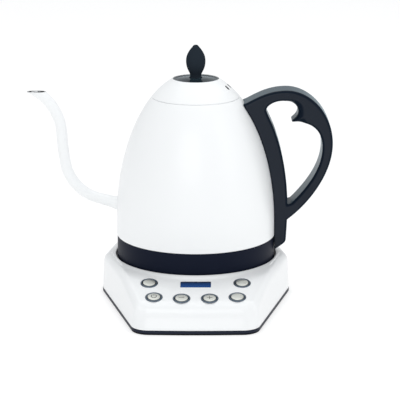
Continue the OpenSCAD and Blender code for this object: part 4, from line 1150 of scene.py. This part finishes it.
def makeButtons():
    for kind, spot in buttonSpots.items():
        place = atPanel(*spot)
        verts, faces = spin(capProfile(), 64, place)
        plain = len(faces)
        for shape in markShapes(kind):
            rim = [(x, y, capHeight(math.hypot(x, y))) for x, y in shape]
            count, first = len(rim), len(verts)
            top = first + count
            verts += [place @ Vector((x * mm, y * mm, (z + lift) * mm))
                      for lift in (-0.05, cap["mark"]) for x, y, z in rim]
            faces += quads(count, first, top)
            faces += [[top + k for k in range(count)], [first + k for k in range(count)][::-1]]
        piece = addPiece("button" + kind.capitalize(), verts, faces, paints["silver"], "button_" + kind,
                         ["button_" + kind], "cap_silver", 40)
        piece.data.materials.append(paints["mark"])
        for polygon in piece.data.polygons[plain:]:
            polygon.material_index = 1


def windowPaint():
    # its painted shading runs from the window's dark upper edge to its brighter lower one
    d = displayWindow
    top, low = (atPanel(0, side * d["height"] / 2 - d["middle"]).translation.y for side in (1, -1))
    return lcd("display_blue", dict(top=top, low=low, stops=[
        (0.0, (0.006, 0.011, 0.025, 1)), (0.16, (0.008, 0.016, 0.045, 1)),
        (0.3, (0.010, 0.034, 0.11, 1)), (1.0, (0.016, 0.060, 0.21, 1))]))


def makeDisplay():
    d = displayWindow
    ring = windowRing(0, 0.7)
    inner = windowRing(d["border"], 0.5)
    count = len(ring)
    levels = [(ring, d["low"]), (ring, -0.3), (inner, d["top"])]
    verts = [atPanel(0, 0) @ Vector((x * mm, y * mm, z * mm)) for shape, z in levels for x, y in shape]
    faces = quads(count, 0, count) + quads(count, count, 2 * count)
    faces += [list(range(count))[::-1], [2 * count + k for k in range(count)]]
    addPiece("displayWindow", verts, faces, windowPaint(), "base", ["display_window"], "window_glass", 30)


makeBezels()
makeButtons()
makeDisplay()
print("buttons and display made")

# the pieces that keep the frame's own meshes

finishes = dict(
    vessel_floor="floorSteel", bottom_cover="inner", bottom_screws="screw", heat_plate="alloy",
    heating_element="sheath", temperature_probe="steel", thermal_cutout="bakelite", element_leads="leads",
    kettle_connector="inner", kettle_contacts="brass", handle_bracket_upper="steel",
    handle_bracket_lower="steel", handle_screws="screw", lid_liner="inner", lid_gasket="seal",
    knob_screw="screw", base_tray="trim", rubber_feet="rubber", tray_screws="screw",
    base_connector="inner", base_contacts="brass", power_board="board", relay="relay",
    transformer="tape", filter_capacitors="sleeve", terminal_block="block", base_wiring="wires",
    control_board="board", board_screws="screw", button_switches="inner", buzzer="inner",
    ribbon_cable="ribbon", display_module="steel", cord_gland="rubber", cord_clamp="inner")
for node, paint in finishes.items():
    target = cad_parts[node]
    target.data.materials.clear()
    target.data.materials.append(paints[paint])
print("frame nodes finished")


def flatSheet(name, corners, material):
    # one level face of the stage
    mesh = bpy.data.meshes.new(name)
    mesh.from_pydata(corners, [], [list(range(len(corners)))])
    mesh.materials.append(material)
    sheet = bpy.data.objects.new(name, mesh)
    bpy.context.scene.collection.objects.link(sheet)
    return sheet


def makeFloor(s):
    finish = Finish("pale_floor", roughness=0.8)
    cloud = finish.noise(2.5, 2)
    # it glows a little more around the object, which makes up for the object's shadow
    reach = finish.node("ShaderNodeVectorMath", dict(operation="LENGTH"), {0: finish.place}, output="Value")
    glow = 1 + s["nearGlow"] - (reach / s["nearReach"]).clamped() * s["nearGlow"]
    finish.set(baseColor=finish.mix(cloud, s["floorTint"], shade(s["floorTint"], 0.99)),
               emissionColor=glow, emissionStrength=s["floorGlow"])
    half = s["floorSize"] / 2
    floor = flatSheet("floor", [(-half, -half, 0), (half, -half, 0), (half, half, 0), (-half, half, 0)],
                      finish.material)


def makeShadow(s):
    # the unlit floor in the gap under the base
    finish = Finish("unlit_floor", baseColor=(0.01, 0.01, 0.012, 1), roughness=1)
    outline = [(x * mm, y * mm, s["gapHeight"] * mm) for x, y in baseOutline(s["gapInset"])]
    patch = flatSheet("gapShadow", outline, finish.material)


makeFloor(studio)
makeShadow(studio)
print("scene done")
